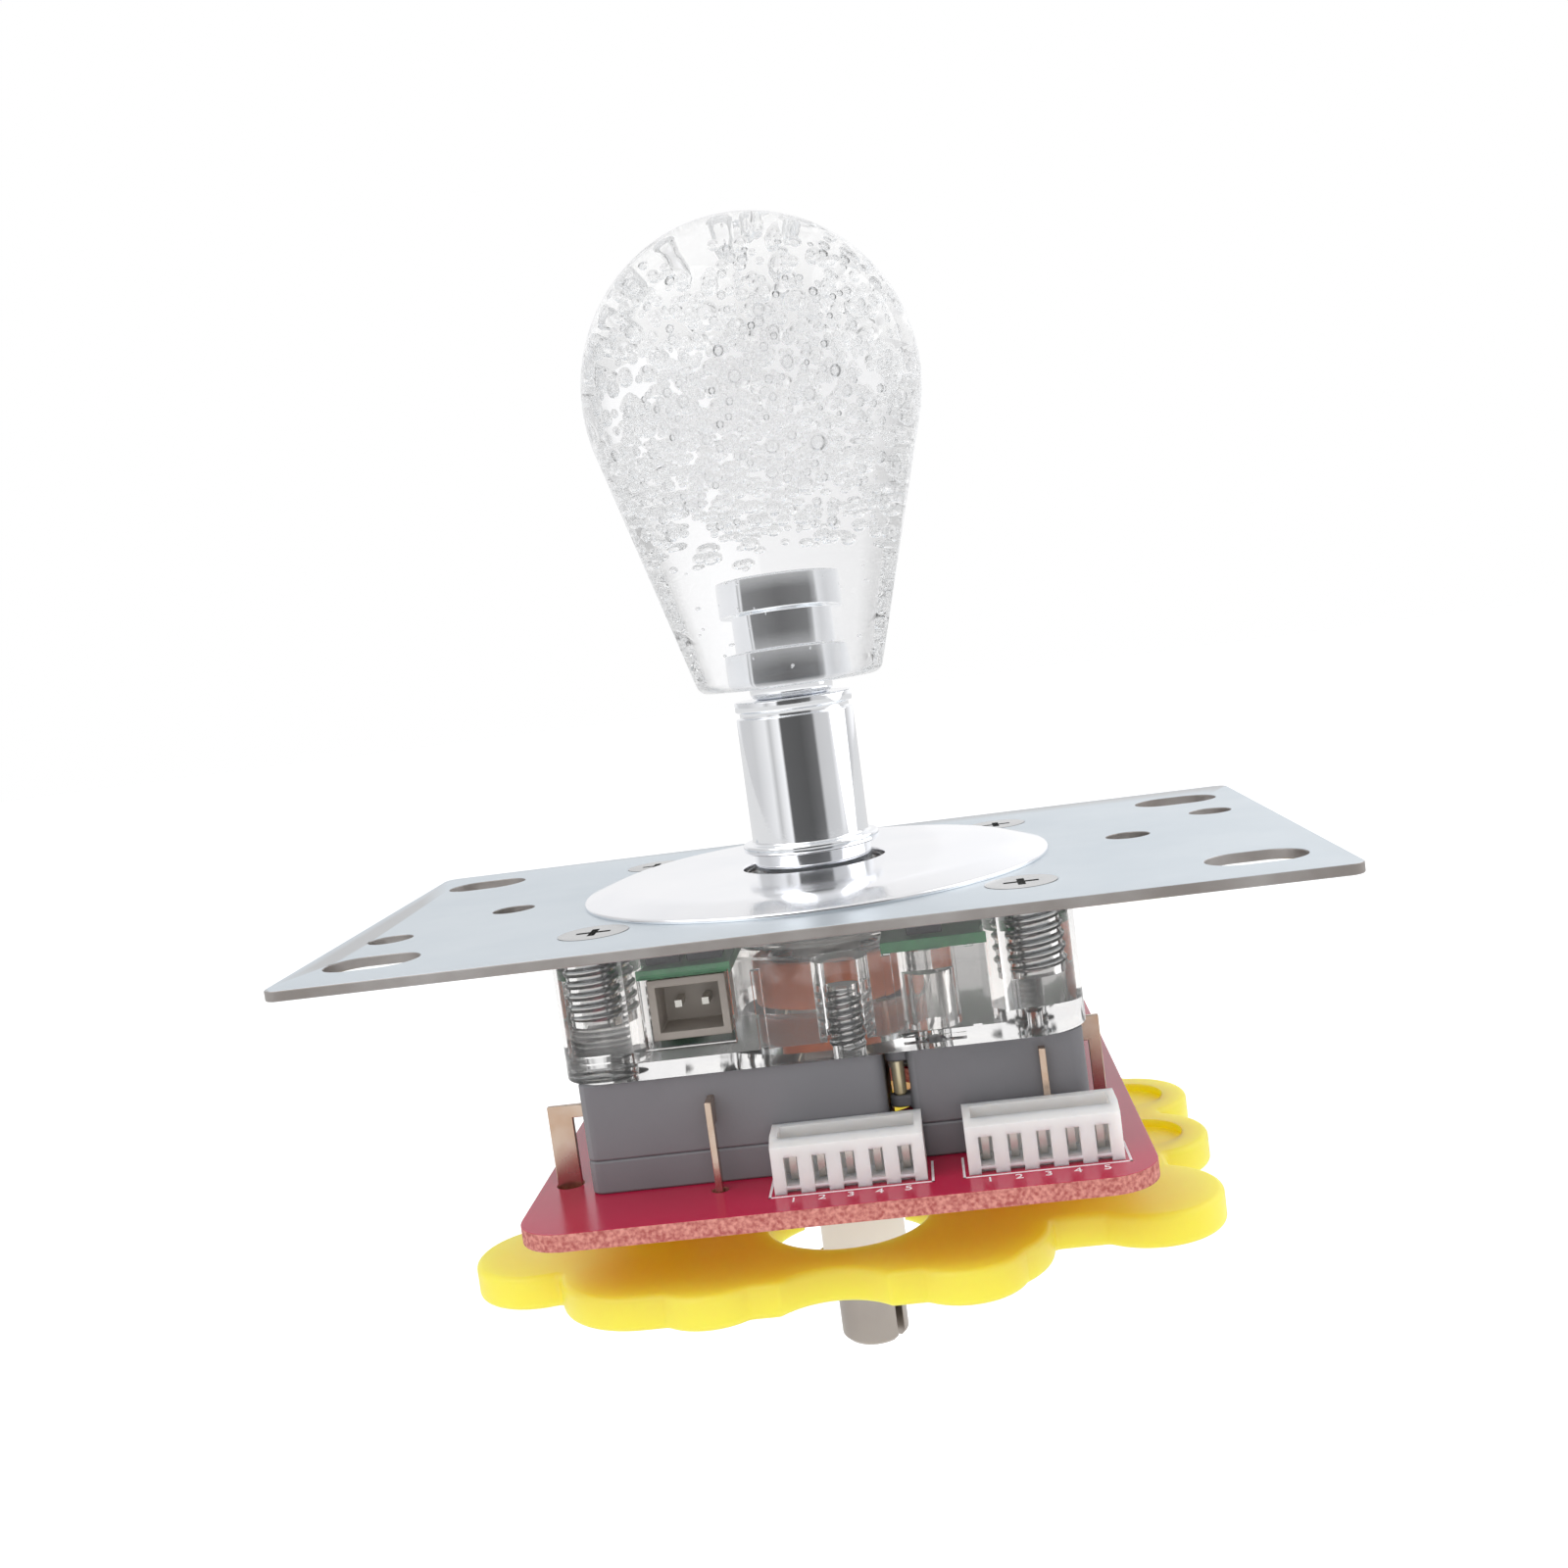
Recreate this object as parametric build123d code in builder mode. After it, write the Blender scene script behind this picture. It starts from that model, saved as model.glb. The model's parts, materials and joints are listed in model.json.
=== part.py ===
"""Arcade joystick lever with a bubble knob, a clear body, four switches and a restrictor gate.

The origin is the centre of the mounting plate's top face, on the lever's axis, with +Z up the lever.
All sizes are in millimetres.
"""
import os
from math import acos, asin, atan2, cos, degrees, hypot, radians, sin, sqrt, tan

from build123d import *

os.makedirs("parts", exist_ok=True)

# Fits
running_gap = 0.05
seat_gap = 0.1
free_gap = 0.3

# Mounting plate
plate_length = 95.0
plate_depth = 60.0
plate_thickness = 1.0
plate_corner = 1.5
plate_opening = 20.0
slot_spacing_x = 80.4
slot_spacing_y = 42.5
slot_length = 9.0
slot_width = 6.4
ear_hole_spacing = 63.8
spare_hole_x = 42.0
spare_hole_y = 9.9
small_hole = 4.4

# Lever motion
pivot_depth = 3.0
tilt_limit = 7.5

# Knob, its insert, the sleeve and the shaft
knob_diameter = 34.0
knob_height = 46.5
knob_foot = 18.6
knob_edge = 1.0
insert_ring = 8.5
insert_groove = 6.9
insert_proud = 1.3
insert_foot_height = 5.8
insert_groove_height = 3.8
insert_head_height = 3.6
sleeve_diameter = 12.0
sleeve_length = 15.4
sleeve_lift = 3.0
sleeve_skirt = 2.7
sleeve_flange = 14.0
sleeve_flange_height = 0.9
sleeve_rim_height = 1.1
sleeve_neck_depth = 0.4
sleeve_neck_height = 0.6
shaft_diameter = 7.0
shaft_spigot = 5.0
shaft_spigot_length = 9.6
shaft_shoulder = 10.0
shaft_below_gate = 15.9
shaft_end_chamfer = 0.6
shaft_slot_width = 1.2
shaft_slot_depth = 4.0
shaft_slot_turn = 55.0

# Dust washer
washer_diameter = 47.6
washer_bore = 14.6
washer_thickness = 1.4
washer_rim = 0.4
washer_bevel = 3.4

# Pivot
ball_diameter = 10.4
ball_height = 6.8
ring_wall = 1.3
ring_height = 4.4

# Spring and its collar
spring_wire = 0.8
spring_diameter = 11.4
spring_turns = 3.5
collar_diameter = 15.4
collar_wall = 0.7
collar_floor = 1.0
collar_height = 4.7
collar_hub = 9.2
collar_hub_height = 2.0
collar_drop = 12.2

# Actuator and its clip
actuator_diameter = 8.8
actuator_below_gate = 7.2
clip_diameter = 11.2
clip_thickness = 0.7
clip_groove_depth = 0.6
clip_mouth = 4.4

# Clear housing
housing_side = 48.0
housing_height = 12.2
housing_corner = 5.0
housing_wall = 1.5
housing_floor = 1.4
boss_spacing = 39.3
boss_diameter = 8.0
pillar_diameter = 5.2
tower_diameter = 21.8
tower_bore = 19.4
tower_top_gap = 0.3
seat_depth = 2.4
shoulder_diameter = 26.0
shoulder_height = 1.3
ear_reach = 12.0
ear_width = 14.0
ear_thickness = 1.8
rib_offsets = (-5.0, 6.8, 14.2)
rib_thickness = 0.8
rib_depth = 1.0
drain_offsets = (8.6, 12.0)
drain_width = 2.2
drain_height = 0.6
drain_lift = 0.9

# Lamp board in the housing
lamp_board_gap = 0.8
lamp_board_thickness = 1.0
lamp_board_drop = 3.6
lamp_board_hole = 23.0
lamp_board_mouth = 13.6
lamp_board_mouth_x = -0.4
lamp_length = 3.5
lamp_width = 2.8
lamp_height = 1.4
lamp_circle = 31.0
lamp_turn = 45.0
chip_length = 3.2
chip_width = 2.6
chip_height = 1.3
chip_places = ((-13.5, -18.4), (-9.7, -18.4), (10.4, -18.4))
header_width = 7.2
header_depth = 6.0
header_height = 5.6
header_wall = 0.7
header_x = -11.4
header_pitch = 2.5
header_pin = 0.64
header_pin_reach = 2.6
header_window_margin = 0.5

# Switches
switch_length = 27.8
switch_depth = 15.9
switch_thickness = 10.3
switch_inner = 7.5
switch_end = 5.3
switch_corner = 1.2
switch_cover = 3.1
switch_hole = 3.1
switch_hole_inset = 2.8
lever_drop = 13.5
lever_width = 3.0
lever_thickness = 0.3
lever_gap = 0.7
lever_end = 2.6
lever_barrel = 1.2
lever_trunnion = 0.9
hinge_inset = 2.6
hinge_standoff = 1.0
hinge_lug = 1.1
plunger_diameter = 2.6
plunger_arm = 8.5
plunger_length = 4.6
plunger_bore_depth = 5.2
plunger_gap = 0.2
terminal_thickness = 0.6
terminal_arm = 2.4
terminal_leg = 1.2
terminal_height = 8.2
terminal_reach = 2.5
terminal_place = 12.1
terminal_tail = 0.8
common_height = 7.6
common_reach = 3.9
common_leg = 2.3
common_place = 3.9
short_common_height = 9.1
short_common_reach = 0.95
short_common_leg = 0.6

# Main circuit board and its connectors
board_width = 56.0
board_depth = 64.8
board_thickness = 1.6
board_corner = 4.5
board_hole = 19.0
connector_pins = 5
connector_pitch = 2.5
connector_width = 13.4
connector_depth = 4.8
connector_height = 4.9
connector_wall = 0.7
connector_floor = 0.6
connector_bevel = 1.3
connector_foot = 0.45
connector_gap = 0.2
connector_left_x = 1.5
connector_right_x = 18.5
connector_slot_width = 1.2
connector_slot_height = 2.6
connector_slot_lift = 0.7
connector_pin = 0.64
connector_pin_height = 4.2
connector_pin_tail = 1.2

# Restrictor gate
gate_thickness = 3.2
gate_standoff = 5.4
gate_length = 62.0
gate_depth = 44.0
gate_front_width = 45.3
gate_front_reach = 30.6
gate_front_x = -4.0
gate_front_corner = 8.5
gate_bump = 11.2
gate_bump_y = 26.4
gate_bump_left = -12.2
gate_bump_right = 10.6
gate_arch = 12.4
gate_arch_x = -1.0
gate_arch_depth = 2.2
gate_corner = 6.0
gate_lobe = 13.4
gate_front_lobes = ((-29.2, -17.0), (28.2, -17.2))
gate_right_lobes = ((29.6, -1.4), (29.6, 11.4))
gate_dimple = 8.4
gate_dimple_depth = 0.8
gate_edge = 0.6
gate_notch = 0.7
gate_window = 15.6
gate_window_reach = 24.2
gate_bar = 1.6
gate_bar_height = 1.7
gate_hole_corner = 3.0
gate_boss = 6.4

# Screws
plate_screw = 3.8
plate_screw_head = 6.6
plate_screw_head_height = 0.9
plate_screw_length = 8.0
screw = 2.9
screw_hole = 3.2
screw_head = 5.4
screw_head_height = 1.7
screw_in_pillar = 6.0
cross_length = 3.2
cross_width = 0.7
cross_depth = 0.9

# Heights, from the plate's top face down
plate_bottom = -plate_thickness
pivot_z = -pivot_depth
housing_bottom = plate_bottom - housing_height
floor_top = housing_bottom + housing_floor
board_top = housing_bottom - switch_thickness
board_bottom = board_top - board_thickness
gate_top = board_bottom - gate_standoff
gate_bottom = gate_top - gate_thickness
shaft_bottom = gate_bottom - shaft_below_gate
actuator_bottom = gate_bottom - actuator_below_gate
ceiling = pivot_z - seat_depth
tower_top = plate_bottom - tower_top_gap
lamp_board_bottom = plate_bottom - lamp_board_drop
lamp_board_top = lamp_board_bottom + lamp_board_thickness
switch_seam = board_top + switch_cover
lever_z = pivot_z - lever_drop

# Heights of the lever's upper pieces
sleeve_top = sleeve_lift + sleeve_length
knob_bottom = sleeve_top + insert_proud
knob_center = knob_bottom + knob_height - knob_diameter / 2
groove_bottom = sleeve_top + insert_foot_height
groove_top = groove_bottom + insert_groove_height
insert_top = groove_top + insert_head_height

# Radii around the pivot
ball_radius = ball_diameter / 2
ring_inner = ball_radius + seat_gap
ring_outer = ring_inner + ring_wall
seat_radius = ring_outer + seat_gap

# Plan positions, for the switch in front, which the others repeat around the axis
switch_outer = switch_inner + switch_depth
switch_left = switch_end - switch_length
outer_hole = (switch_end - switch_hole_inset, -(switch_outer - switch_hole_inset))
inner_hole = (switch_left + switch_hole_inset, -(switch_inner + switch_hole_inset))
hinge_x = switch_left + hinge_inset
hinge_y = -(switch_inner - hinge_standoff)
lever_surface = actuator_diameter / 2 + lever_gap + lever_thickness / 2
lever_angle = degrees(atan2(-hinge_y - lever_surface, -hinge_x))
plunger_x = hinge_x + plunger_arm * cos(radians(lever_angle))
plunger_tip = hinge_y + plunger_arm * sin(radians(lever_angle)) - lever_thickness / 2 - plunger_gap
lever_swing = degrees(atan2(lever_drop * tan(radians(tilt_limit)), -hinge_x))
sweep_slope = tan(radians(lever_angle + lever_swing))
sweep_edge = -hinge_y - lever_thickness - free_gap
relief_far = (switch_end, hinge_x + (sweep_edge - switch_end) / sweep_slope)
relief_near = (sweep_edge + (hinge_x + switch_inner) * sweep_slope, -switch_inner)
terminal_x = switch_left + terminal_place
connector_y = -(switch_outer + connector_gap + connector_depth / 2)
lamp_board_side = housing_side - 2 * (housing_wall + lamp_board_gap)
header_front = -(housing_side / 2 - housing_wall - free_gap)
sides = (("front", 0), ("right", 90), ("back", 180), ("left", 270))
long_common = (common_height, common_reach, common_leg)
short_common = (short_common_height, short_common_reach, short_common_leg)
commons = {"front": long_common, "right": short_common, "back": long_common, "left": long_common}


def around(point):
    """The four places that repeat a plan point around the lever's axis."""
    return PolarLocations(hypot(*point), len(sides), degrees(atan2(point[1], point[0])))


def across(point):
    """A plan point and the place opposite it, on the other side of the lever's axis."""
    return PolarLocations(hypot(*point), 2, degrees(atan2(point[1], point[0])))


def upright(frame, point, outward):
    """Plane at a point of a side's frame, with its x outward and its y up."""
    return Plane(frame.from_local_coords(point), x_dir=outward, z_dir=outward.cross(Vector(0, 0, 1)))


# Mounting plate, with four slots for the panel's bolts and countersunk holes for the housing's screws
sink_half_angle = degrees(atan2((plate_screw_head - plate_screw) / 2, plate_screw_head_height))
with BuildPart() as mounting_plate:
    with BuildSketch(Plane.XY.offset(plate_bottom)):
        RectangleRounded(plate_length, plate_depth, plate_corner)
        Circle(plate_opening / 2, mode=Mode.SUBTRACT)
        with GridLocations(slot_spacing_x, slot_spacing_y, 2, 2):
            SlotOverall(slot_length, slot_width, mode=Mode.SUBTRACT)
        with GridLocations(ear_hole_spacing, 0, 2, 1):
            Circle(small_hole / 2, mode=Mode.SUBTRACT)
        with Locations((spare_hole_x, spare_hole_y), (-spare_hole_x, -spare_hole_y)):
            Circle(small_hole / 2, mode=Mode.SUBTRACT)
    extrude(amount=plate_thickness)
    with Locations(Plane.XY):
        with GridLocations(boss_spacing, boss_spacing, 2, 2):
            CounterSinkHole(
                plate_screw / 2 + seat_gap,
                plate_screw_head / 2 + seat_gap,
                counter_sink_angle=2 * sink_half_angle,
            )
mounting_plate.part.label = "mounting_plate"
export_step(mounting_plate.part, "parts/mounting_plate.step")

# Countersunk cross-head screws that hold the plate to the housing
with BuildPart() as plate_screws:
    with GridLocations(boss_spacing, boss_spacing, 2, 2):
        Cylinder(plate_screw / 2, plate_screw_length, align=(Align.CENTER, Align.CENTER, Align.MAX))
        with Locations((0, 0, -plate_screw_head_height / 2)):
            Cone(plate_screw / 2, plate_screw_head / 2, plate_screw_head_height)
        Box(cross_length, cross_width, 2 * cross_depth, mode=Mode.SUBTRACT)
        Box(cross_width, cross_length, 2 * cross_depth, mode=Mode.SUBTRACT)
plate_screws.part.label = "plate_screws"
export_step(plate_screws.part, "parts/plate_screws.step")

# Dust washer, a flat disc with a bevelled rim, lying on the plate
with BuildPart() as dust_washer:
    with BuildSketch(Plane.XZ):
        with BuildLine():
            Polyline(
                (washer_bore / 2, 0),
                (washer_diameter / 2, 0),
                (washer_diameter / 2, washer_rim),
                (washer_diameter / 2 - washer_bevel, washer_thickness),
                (washer_bore / 2, washer_thickness),
                close=True,
            )
        make_face()
    revolve(axis=Axis.Z)
dust_washer.part.label = "dust_washer"
export_step(dust_washer.part, "parts/dust_washer.step")

# Cast-in insert of the knob: two rings with a groove between them, over a threaded bore
with BuildPart() as knob_insert:
    with BuildSketch(Plane.XY.offset(sleeve_top)):
        Circle(insert_ring / 2)
    extrude(amount=insert_top - sleeve_top)
    with BuildSketch(Plane.XY.offset(groove_bottom)):
        Circle(insert_ring / 2)
        Circle(insert_groove / 2, mode=Mode.SUBTRACT)
    extrude(amount=insert_groove_height, mode=Mode.SUBTRACT)
    with BuildSketch(Plane.XY.offset(sleeve_top)):
        Circle(shaft_spigot / 2 + running_gap)
    extrude(amount=shaft_spigot_length + free_gap, mode=Mode.SUBTRACT)
knob_insert.part.label = "knob_insert"
export_step(knob_insert.part, "parts/knob_insert.step")

# Clear knob: a ball whose straight taper leaves the ball at a tangent, cast around the insert
foot_distance = hypot(knob_foot / 2, knob_center - knob_bottom)
tangent_angle = atan2(knob_foot / 2, knob_center - knob_bottom) + acos(knob_diameter / 2 / foot_distance)
tangent_point = (
    knob_diameter / 2 * sin(tangent_angle),
    knob_center - knob_diameter / 2 * cos(tangent_angle),
)
with BuildPart() as bubble_knob:
    with BuildSketch(Plane.XZ):
        with BuildLine():
            Polyline(
                (0, knob_center + knob_diameter / 2),
                (0, knob_bottom),
                (knob_foot / 2, knob_bottom),
                tangent_point,
            )
            CenterArc(
                (0, knob_center),
                knob_diameter / 2,
                degrees(tangent_angle) - 90,
                180 - degrees(tangent_angle),
            )
        make_face()
    revolve(axis=Axis.Z)
    fillet(bubble_knob.faces().sort_by(Axis.Z)[0].edges(), knob_edge)
    with BuildSketch(Plane.XY.offset(knob_bottom)):
        Circle(insert_ring / 2)
    extrude(amount=groove_bottom - knob_bottom, mode=Mode.SUBTRACT)
    with BuildSketch(Plane.XY.offset(groove_bottom)):
        Circle(insert_groove / 2)
    extrude(amount=insert_groove_height, mode=Mode.SUBTRACT)
    with BuildSketch(Plane.XY.offset(groove_top)):
        Circle(insert_ring / 2)
    extrude(amount=insert_head_height, mode=Mode.SUBTRACT)
bubble_knob.part.label = "bubble_knob"
export_step(bubble_knob.part, "parts/bubble_knob.step")

# Sleeve over the shaft, with a foot flange, a skirt that runs down into the washer, and a rim above a neck
rim_bottom = sleeve_top - sleeve_rim_height
with BuildPart() as shaft_sleeve:
    with BuildSketch(Plane.XZ):
        with BuildLine():
            Polyline(
                (shaft_diameter / 2 + running_gap, sleeve_lift),
                (shaft_shoulder / 2 + running_gap, sleeve_lift),
                (shaft_shoulder / 2 + running_gap, sleeve_lift - sleeve_skirt),
                (sleeve_diameter / 2, sleeve_lift - sleeve_skirt),
                (sleeve_diameter / 2, sleeve_lift),
                (sleeve_flange / 2, sleeve_lift),
                (sleeve_flange / 2, sleeve_lift + sleeve_flange_height),
                (sleeve_diameter / 2, sleeve_lift + sleeve_flange_height),
                (sleeve_diameter / 2, rim_bottom - sleeve_neck_height),
                (sleeve_diameter / 2 - sleeve_neck_depth, rim_bottom - sleeve_neck_height),
                (sleeve_diameter / 2 - sleeve_neck_depth, rim_bottom),
                (sleeve_diameter / 2, rim_bottom),
                (sleeve_diameter / 2, sleeve_top),
                (shaft_diameter / 2 + running_gap, sleeve_top),
                close=True,
            )
        make_face()
    revolve(axis=Axis.Z)
shaft_sleeve.part.label = "shaft_sleeve"
export_step(shaft_sleeve.part, "parts/shaft_sleeve.step")

# Shaft, with a threaded spigot at the top, a shoulder over the pivot and a slotted end
ball_top = pivot_z + ball_height / 2
with BuildPart() as shaft:
    with BuildSketch(Plane.XY.offset(shaft_bottom)):
        Circle(shaft_diameter / 2)
    extrude(amount=sleeve_top - shaft_bottom)
    with BuildSketch(Plane.XY.offset(sleeve_top)):
        Circle(shaft_spigot / 2)
    extrude(amount=shaft_spigot_length)
    with BuildSketch(Plane.XY.offset(ball_top + seat_gap)):
        Circle(shaft_shoulder / 2)
    extrude(amount=sleeve_lift - ball_top - seat_gap)
    with BuildSketch(Plane.XY.offset(actuator_bottom - clip_thickness - seat_gap)):
        Circle(shaft_diameter / 2)
        Circle(shaft_diameter / 2 - clip_groove_depth, mode=Mode.SUBTRACT)
    extrude(amount=clip_thickness + seat_gap, mode=Mode.SUBTRACT)
    chamfer(shaft.faces().sort_by(Axis.Z)[0].edges(), shaft_end_chamfer)
    with BuildSketch(Plane.XY.offset(shaft_bottom)):
        Rectangle(shaft_slot_width, shaft_diameter, rotation=shaft_slot_turn)
    extrude(amount=shaft_slot_depth, mode=Mode.SUBTRACT)
shaft.part.label = "shaft"
export_step(shaft.part, "parts/shaft.step")

# Pivot ball on the shaft
with BuildPart() as pivot_ball:
    with Locations((0, 0, pivot_z)):
        Sphere(ball_radius)
        Box(ball_diameter, ball_diameter, ball_height, mode=Mode.INTERSECT)
        Cylinder(shaft_diameter / 2 + running_gap, ball_diameter, mode=Mode.SUBTRACT)
pivot_ball.part.label = "pivot_ball"
export_step(pivot_ball.part, "parts/pivot_ball.step")

# Pivot ring between the ball and its seat in the housing
with BuildPart() as pivot_ring:
    with Locations((0, 0, pivot_z)):
        Sphere(ring_outer)
        Box(2 * ring_outer, 2 * ring_outer, ring_height, mode=Mode.INTERSECT)
        Sphere(ring_inner, mode=Mode.SUBTRACT)
pivot_ring.part.label = "pivot_ring"
export_step(pivot_ring.part, "parts/pivot_ring.step")

# Cup-shaped collar that carries the foot of the return spring
collar_bottom = -collar_drop
collar_floor_top = collar_bottom + collar_floor
with BuildPart() as spring_collar:
    with BuildSketch(Plane.XY.offset(collar_bottom)):
        Circle(collar_diameter / 2)
    extrude(amount=collar_height)
    with BuildSketch(Plane.XY.offset(collar_floor_top)):
        Circle(collar_diameter / 2 - collar_wall)
        Circle(collar_hub / 2, mode=Mode.SUBTRACT)
    extrude(amount=collar_height - collar_floor, mode=Mode.SUBTRACT)
    with BuildSketch(Plane.XY.offset(collar_floor_top + collar_hub_height)):
        Circle(collar_hub / 2)
    extrude(amount=collar_height - collar_floor - collar_hub_height, mode=Mode.SUBTRACT)
    with BuildSketch(Plane.XY.offset(collar_bottom)):
        Circle(shaft_diameter / 2 + running_gap)
    extrude(amount=collar_height, mode=Mode.SUBTRACT)
spring_collar.part.label = "spring_collar"
export_step(spring_collar.part, "parts/spring_collar.step")

# Return spring between the housing's ceiling and the collar
spring_bottom = collar_floor_top + spring_wire / 2 + running_gap
spring_height = ceiling - spring_wire / 2 - running_gap - spring_bottom
spring_pitch = spring_height / spring_turns
with BuildPart() as return_spring:
    with BuildLine():
        coil = Helix(spring_pitch, spring_height, spring_diameter / 2, center=(0, 0, spring_bottom))
    with BuildSketch(Plane(coil @ 0, z_dir=coil % 0)):
        Circle(spring_wire / 2)
    sweep(path=coil, is_frenet=True)
return_spring.part.label = "return_spring"
export_step(return_spring.part, "parts/return_spring.step")

# Actuator tube that presses the switches and runs in the gate
with BuildPart() as actuator:
    with BuildSketch(Plane.XY.offset(actuator_bottom)):
        Circle(actuator_diameter / 2)
        Circle(shaft_diameter / 2 + running_gap, mode=Mode.SUBTRACT)
    extrude(amount=collar_bottom - actuator_bottom)
    chamfer(actuator.faces().sort_by(Axis.Z)[0].outer_wire().edges(), free_gap)
actuator.part.label = "actuator"
export_step(actuator.part, "parts/actuator.step")

# Retaining clip in the shaft's groove
with BuildPart() as retaining_clip:
    with BuildSketch(Plane.XY.offset(actuator_bottom - clip_thickness)):
        Circle(clip_diameter / 2)
        Circle(shaft_diameter / 2 - clip_groove_depth + running_gap, mode=Mode.SUBTRACT)
        with Locations((0, clip_diameter / 2)):
            Rectangle(clip_mouth, clip_diameter, mode=Mode.SUBTRACT)
    extrude(amount=clip_thickness)
retaining_clip.part.label = "retaining_clip"
export_step(retaining_clip.part, "parts/retaining_clip.step")

# Clear housing: an open box with corner bosses, screw pillars and a tower that seats the pivot
seat_mouth = sqrt(seat_radius**2 - seat_depth**2)
seat_angle = degrees(asin(seat_depth / seat_radius))
inner_half = housing_side / 2 - housing_wall
with BuildPart() as housing:
    with BuildSketch(Plane.XY.offset(housing_bottom)):
        RectangleRounded(housing_side, housing_side, housing_corner)
    extrude(amount=housing_height)
    with BuildSketch(Plane.XY.offset(floor_top)):
        RectangleRounded(2 * inner_half, 2 * inner_half, housing_corner - housing_wall)
    extrude(amount=housing_height - housing_floor, mode=Mode.SUBTRACT)
    with BuildSketch(Plane.XY.offset(housing_bottom)):
        with GridLocations(boss_spacing, boss_spacing, 2, 2):
            Circle(boss_diameter / 2)
    extrude(amount=housing_height)
    with BuildSketch(Plane.XY.offset(housing_bottom)):
        with around(outer_hole):
            Circle(pillar_diameter / 2)
        with around(inner_hole):
            Circle(pillar_diameter / 2)
        for side, angle in sides:
            for offset_along in rib_offsets:
                with Locations(Location((0, 0, 0), (0, 0, angle))):
                    with Locations((offset_along, -(inner_half - rib_depth / 2))):
                        Rectangle(rib_thickness, rib_depth)
    extrude(amount=lamp_board_bottom - housing_bottom)
    with BuildSketch(Plane.XY.offset(housing_bottom)):
        Circle(tower_diameter / 2)
    extrude(amount=tower_top - housing_bottom)
    with BuildSketch(Plane.XY.offset(lamp_board_bottom - shoulder_height)):
        Circle(shoulder_diameter / 2)
    extrude(amount=shoulder_height)
    with BuildSketch(Plane.XY.offset(housing_bottom)):
        Circle(tower_bore / 2)
    extrude(amount=ceiling - housing_bottom, mode=Mode.SUBTRACT)
    with BuildSketch(Plane.XZ):
        with BuildLine():
            Polyline((seat_radius, pivot_z), (seat_radius, 0), (0, 0), (0, ceiling), (seat_mouth, ceiling))
            CenterArc((0, pivot_z), seat_radius, -seat_angle, seat_angle)
        make_face()
    revolve(axis=Axis.Z, mode=Mode.SUBTRACT)
    with BuildSketch(Plane.XY.offset(plate_bottom)):
        with GridLocations(housing_side + ear_reach, 0, 2, 1):
            Rectangle(ear_reach, ear_width)
        with GridLocations(ear_hole_spacing, 0, 2, 1):
            Circle(small_hole / 2, mode=Mode.SUBTRACT)
    extrude(amount=-ear_thickness)
    with BuildSketch(Plane.XY.offset(plate_bottom)):
        with GridLocations(boss_spacing, boss_spacing, 2, 2):
            Circle(plate_screw / 2 + running_gap)
    extrude(amount=plate_thickness - plate_screw_length - free_gap, mode=Mode.SUBTRACT)
    with BuildSketch(Plane.XY.offset(housing_bottom)):
        with around(outer_hole):
            Circle(screw / 2 + running_gap)
        with around(inner_hole):
            Circle(screw / 2 + running_gap)
    extrude(amount=screw_in_pillar + free_gap, mode=Mode.SUBTRACT)
    window_height = header_height + 2 * header_window_margin
    with Locations((header_x, -housing_side / 2, lamp_board_bottom - header_height / 2)):
        Box(header_width + 2 * header_window_margin, 4 * housing_wall, window_height, mode=Mode.SUBTRACT)
    for side, angle in sides:
        with Locations(Location((0, 0, housing_bottom + drain_lift), (0, 0, angle))):
            with Locations([(x, -housing_side / 2, 0) for x in drain_offsets]):
                Box(drain_width, 2 * rib_depth, drain_height, mode=Mode.SUBTRACT)
housing.part.label = "housing"
export_step(housing.part, "parts/housing.step")

# Lamp board, lying on the housing's shoulder and pillars, open at the front down to the tower
with BuildPart() as lamp_board:
    with BuildSketch(Plane.XY.offset(lamp_board_bottom)):
        Rectangle(lamp_board_side, lamp_board_side)
        Circle(lamp_board_hole / 2, mode=Mode.SUBTRACT)
        with Locations((lamp_board_mouth_x, -lamp_board_side / 2)):
            Rectangle(lamp_board_mouth, lamp_board_side, mode=Mode.SUBTRACT)
        with GridLocations(boss_spacing, boss_spacing, 2, 2):
            Circle(boss_diameter / 2 + free_gap, mode=Mode.SUBTRACT)
    extrude(amount=lamp_board_thickness)
lamp_board.part.label = "lamp_board"
export_step(lamp_board.part, "parts/lamp_board.step")

# Four lamps on the board, around the tower
with BuildPart() as lamps:
    with BuildSketch(Plane.XY.offset(lamp_board_top)):
        with PolarLocations(lamp_circle / 2, len(sides), lamp_turn):
            Rectangle(lamp_width, lamp_length)
    extrude(amount=lamp_height)
lamps.part.label = "lamps"
export_step(lamps.part, "parts/lamps.step")

# Driver chips on the board, at its front
with BuildPart() as board_chips:
    with BuildSketch(Plane.XY.offset(lamp_board_top)):
        with Locations(*chip_places):
            Rectangle(chip_length, chip_width)
    extrude(amount=chip_height)
board_chips.part.label = "board_chips"
export_step(board_chips.part, "parts/board_chips.step")

# Side-entry header under the lamp board, with its mouth at the window in the housing's wall
header_mouth_width = header_width - 2 * header_wall
header_mouth_depth = header_depth - 2 * header_wall
header_mouth_height = header_height - 2 * header_wall
with BuildPart() as lamp_header:
    with BuildSketch(Plane.XY.offset(lamp_board_bottom)):
        with Locations((header_x, header_front + header_depth / 2)):
            Rectangle(header_width, header_depth)
    extrude(amount=-header_height)
    with Locations((header_x, header_front + header_mouth_depth / 2, lamp_board_bottom - header_height / 2)):
        Box(header_mouth_width, header_mouth_depth, header_mouth_height, mode=Mode.SUBTRACT)
lamp_header.part.label = "lamp_header"
export_step(lamp_header.part, "parts/lamp_header.step")

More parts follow.
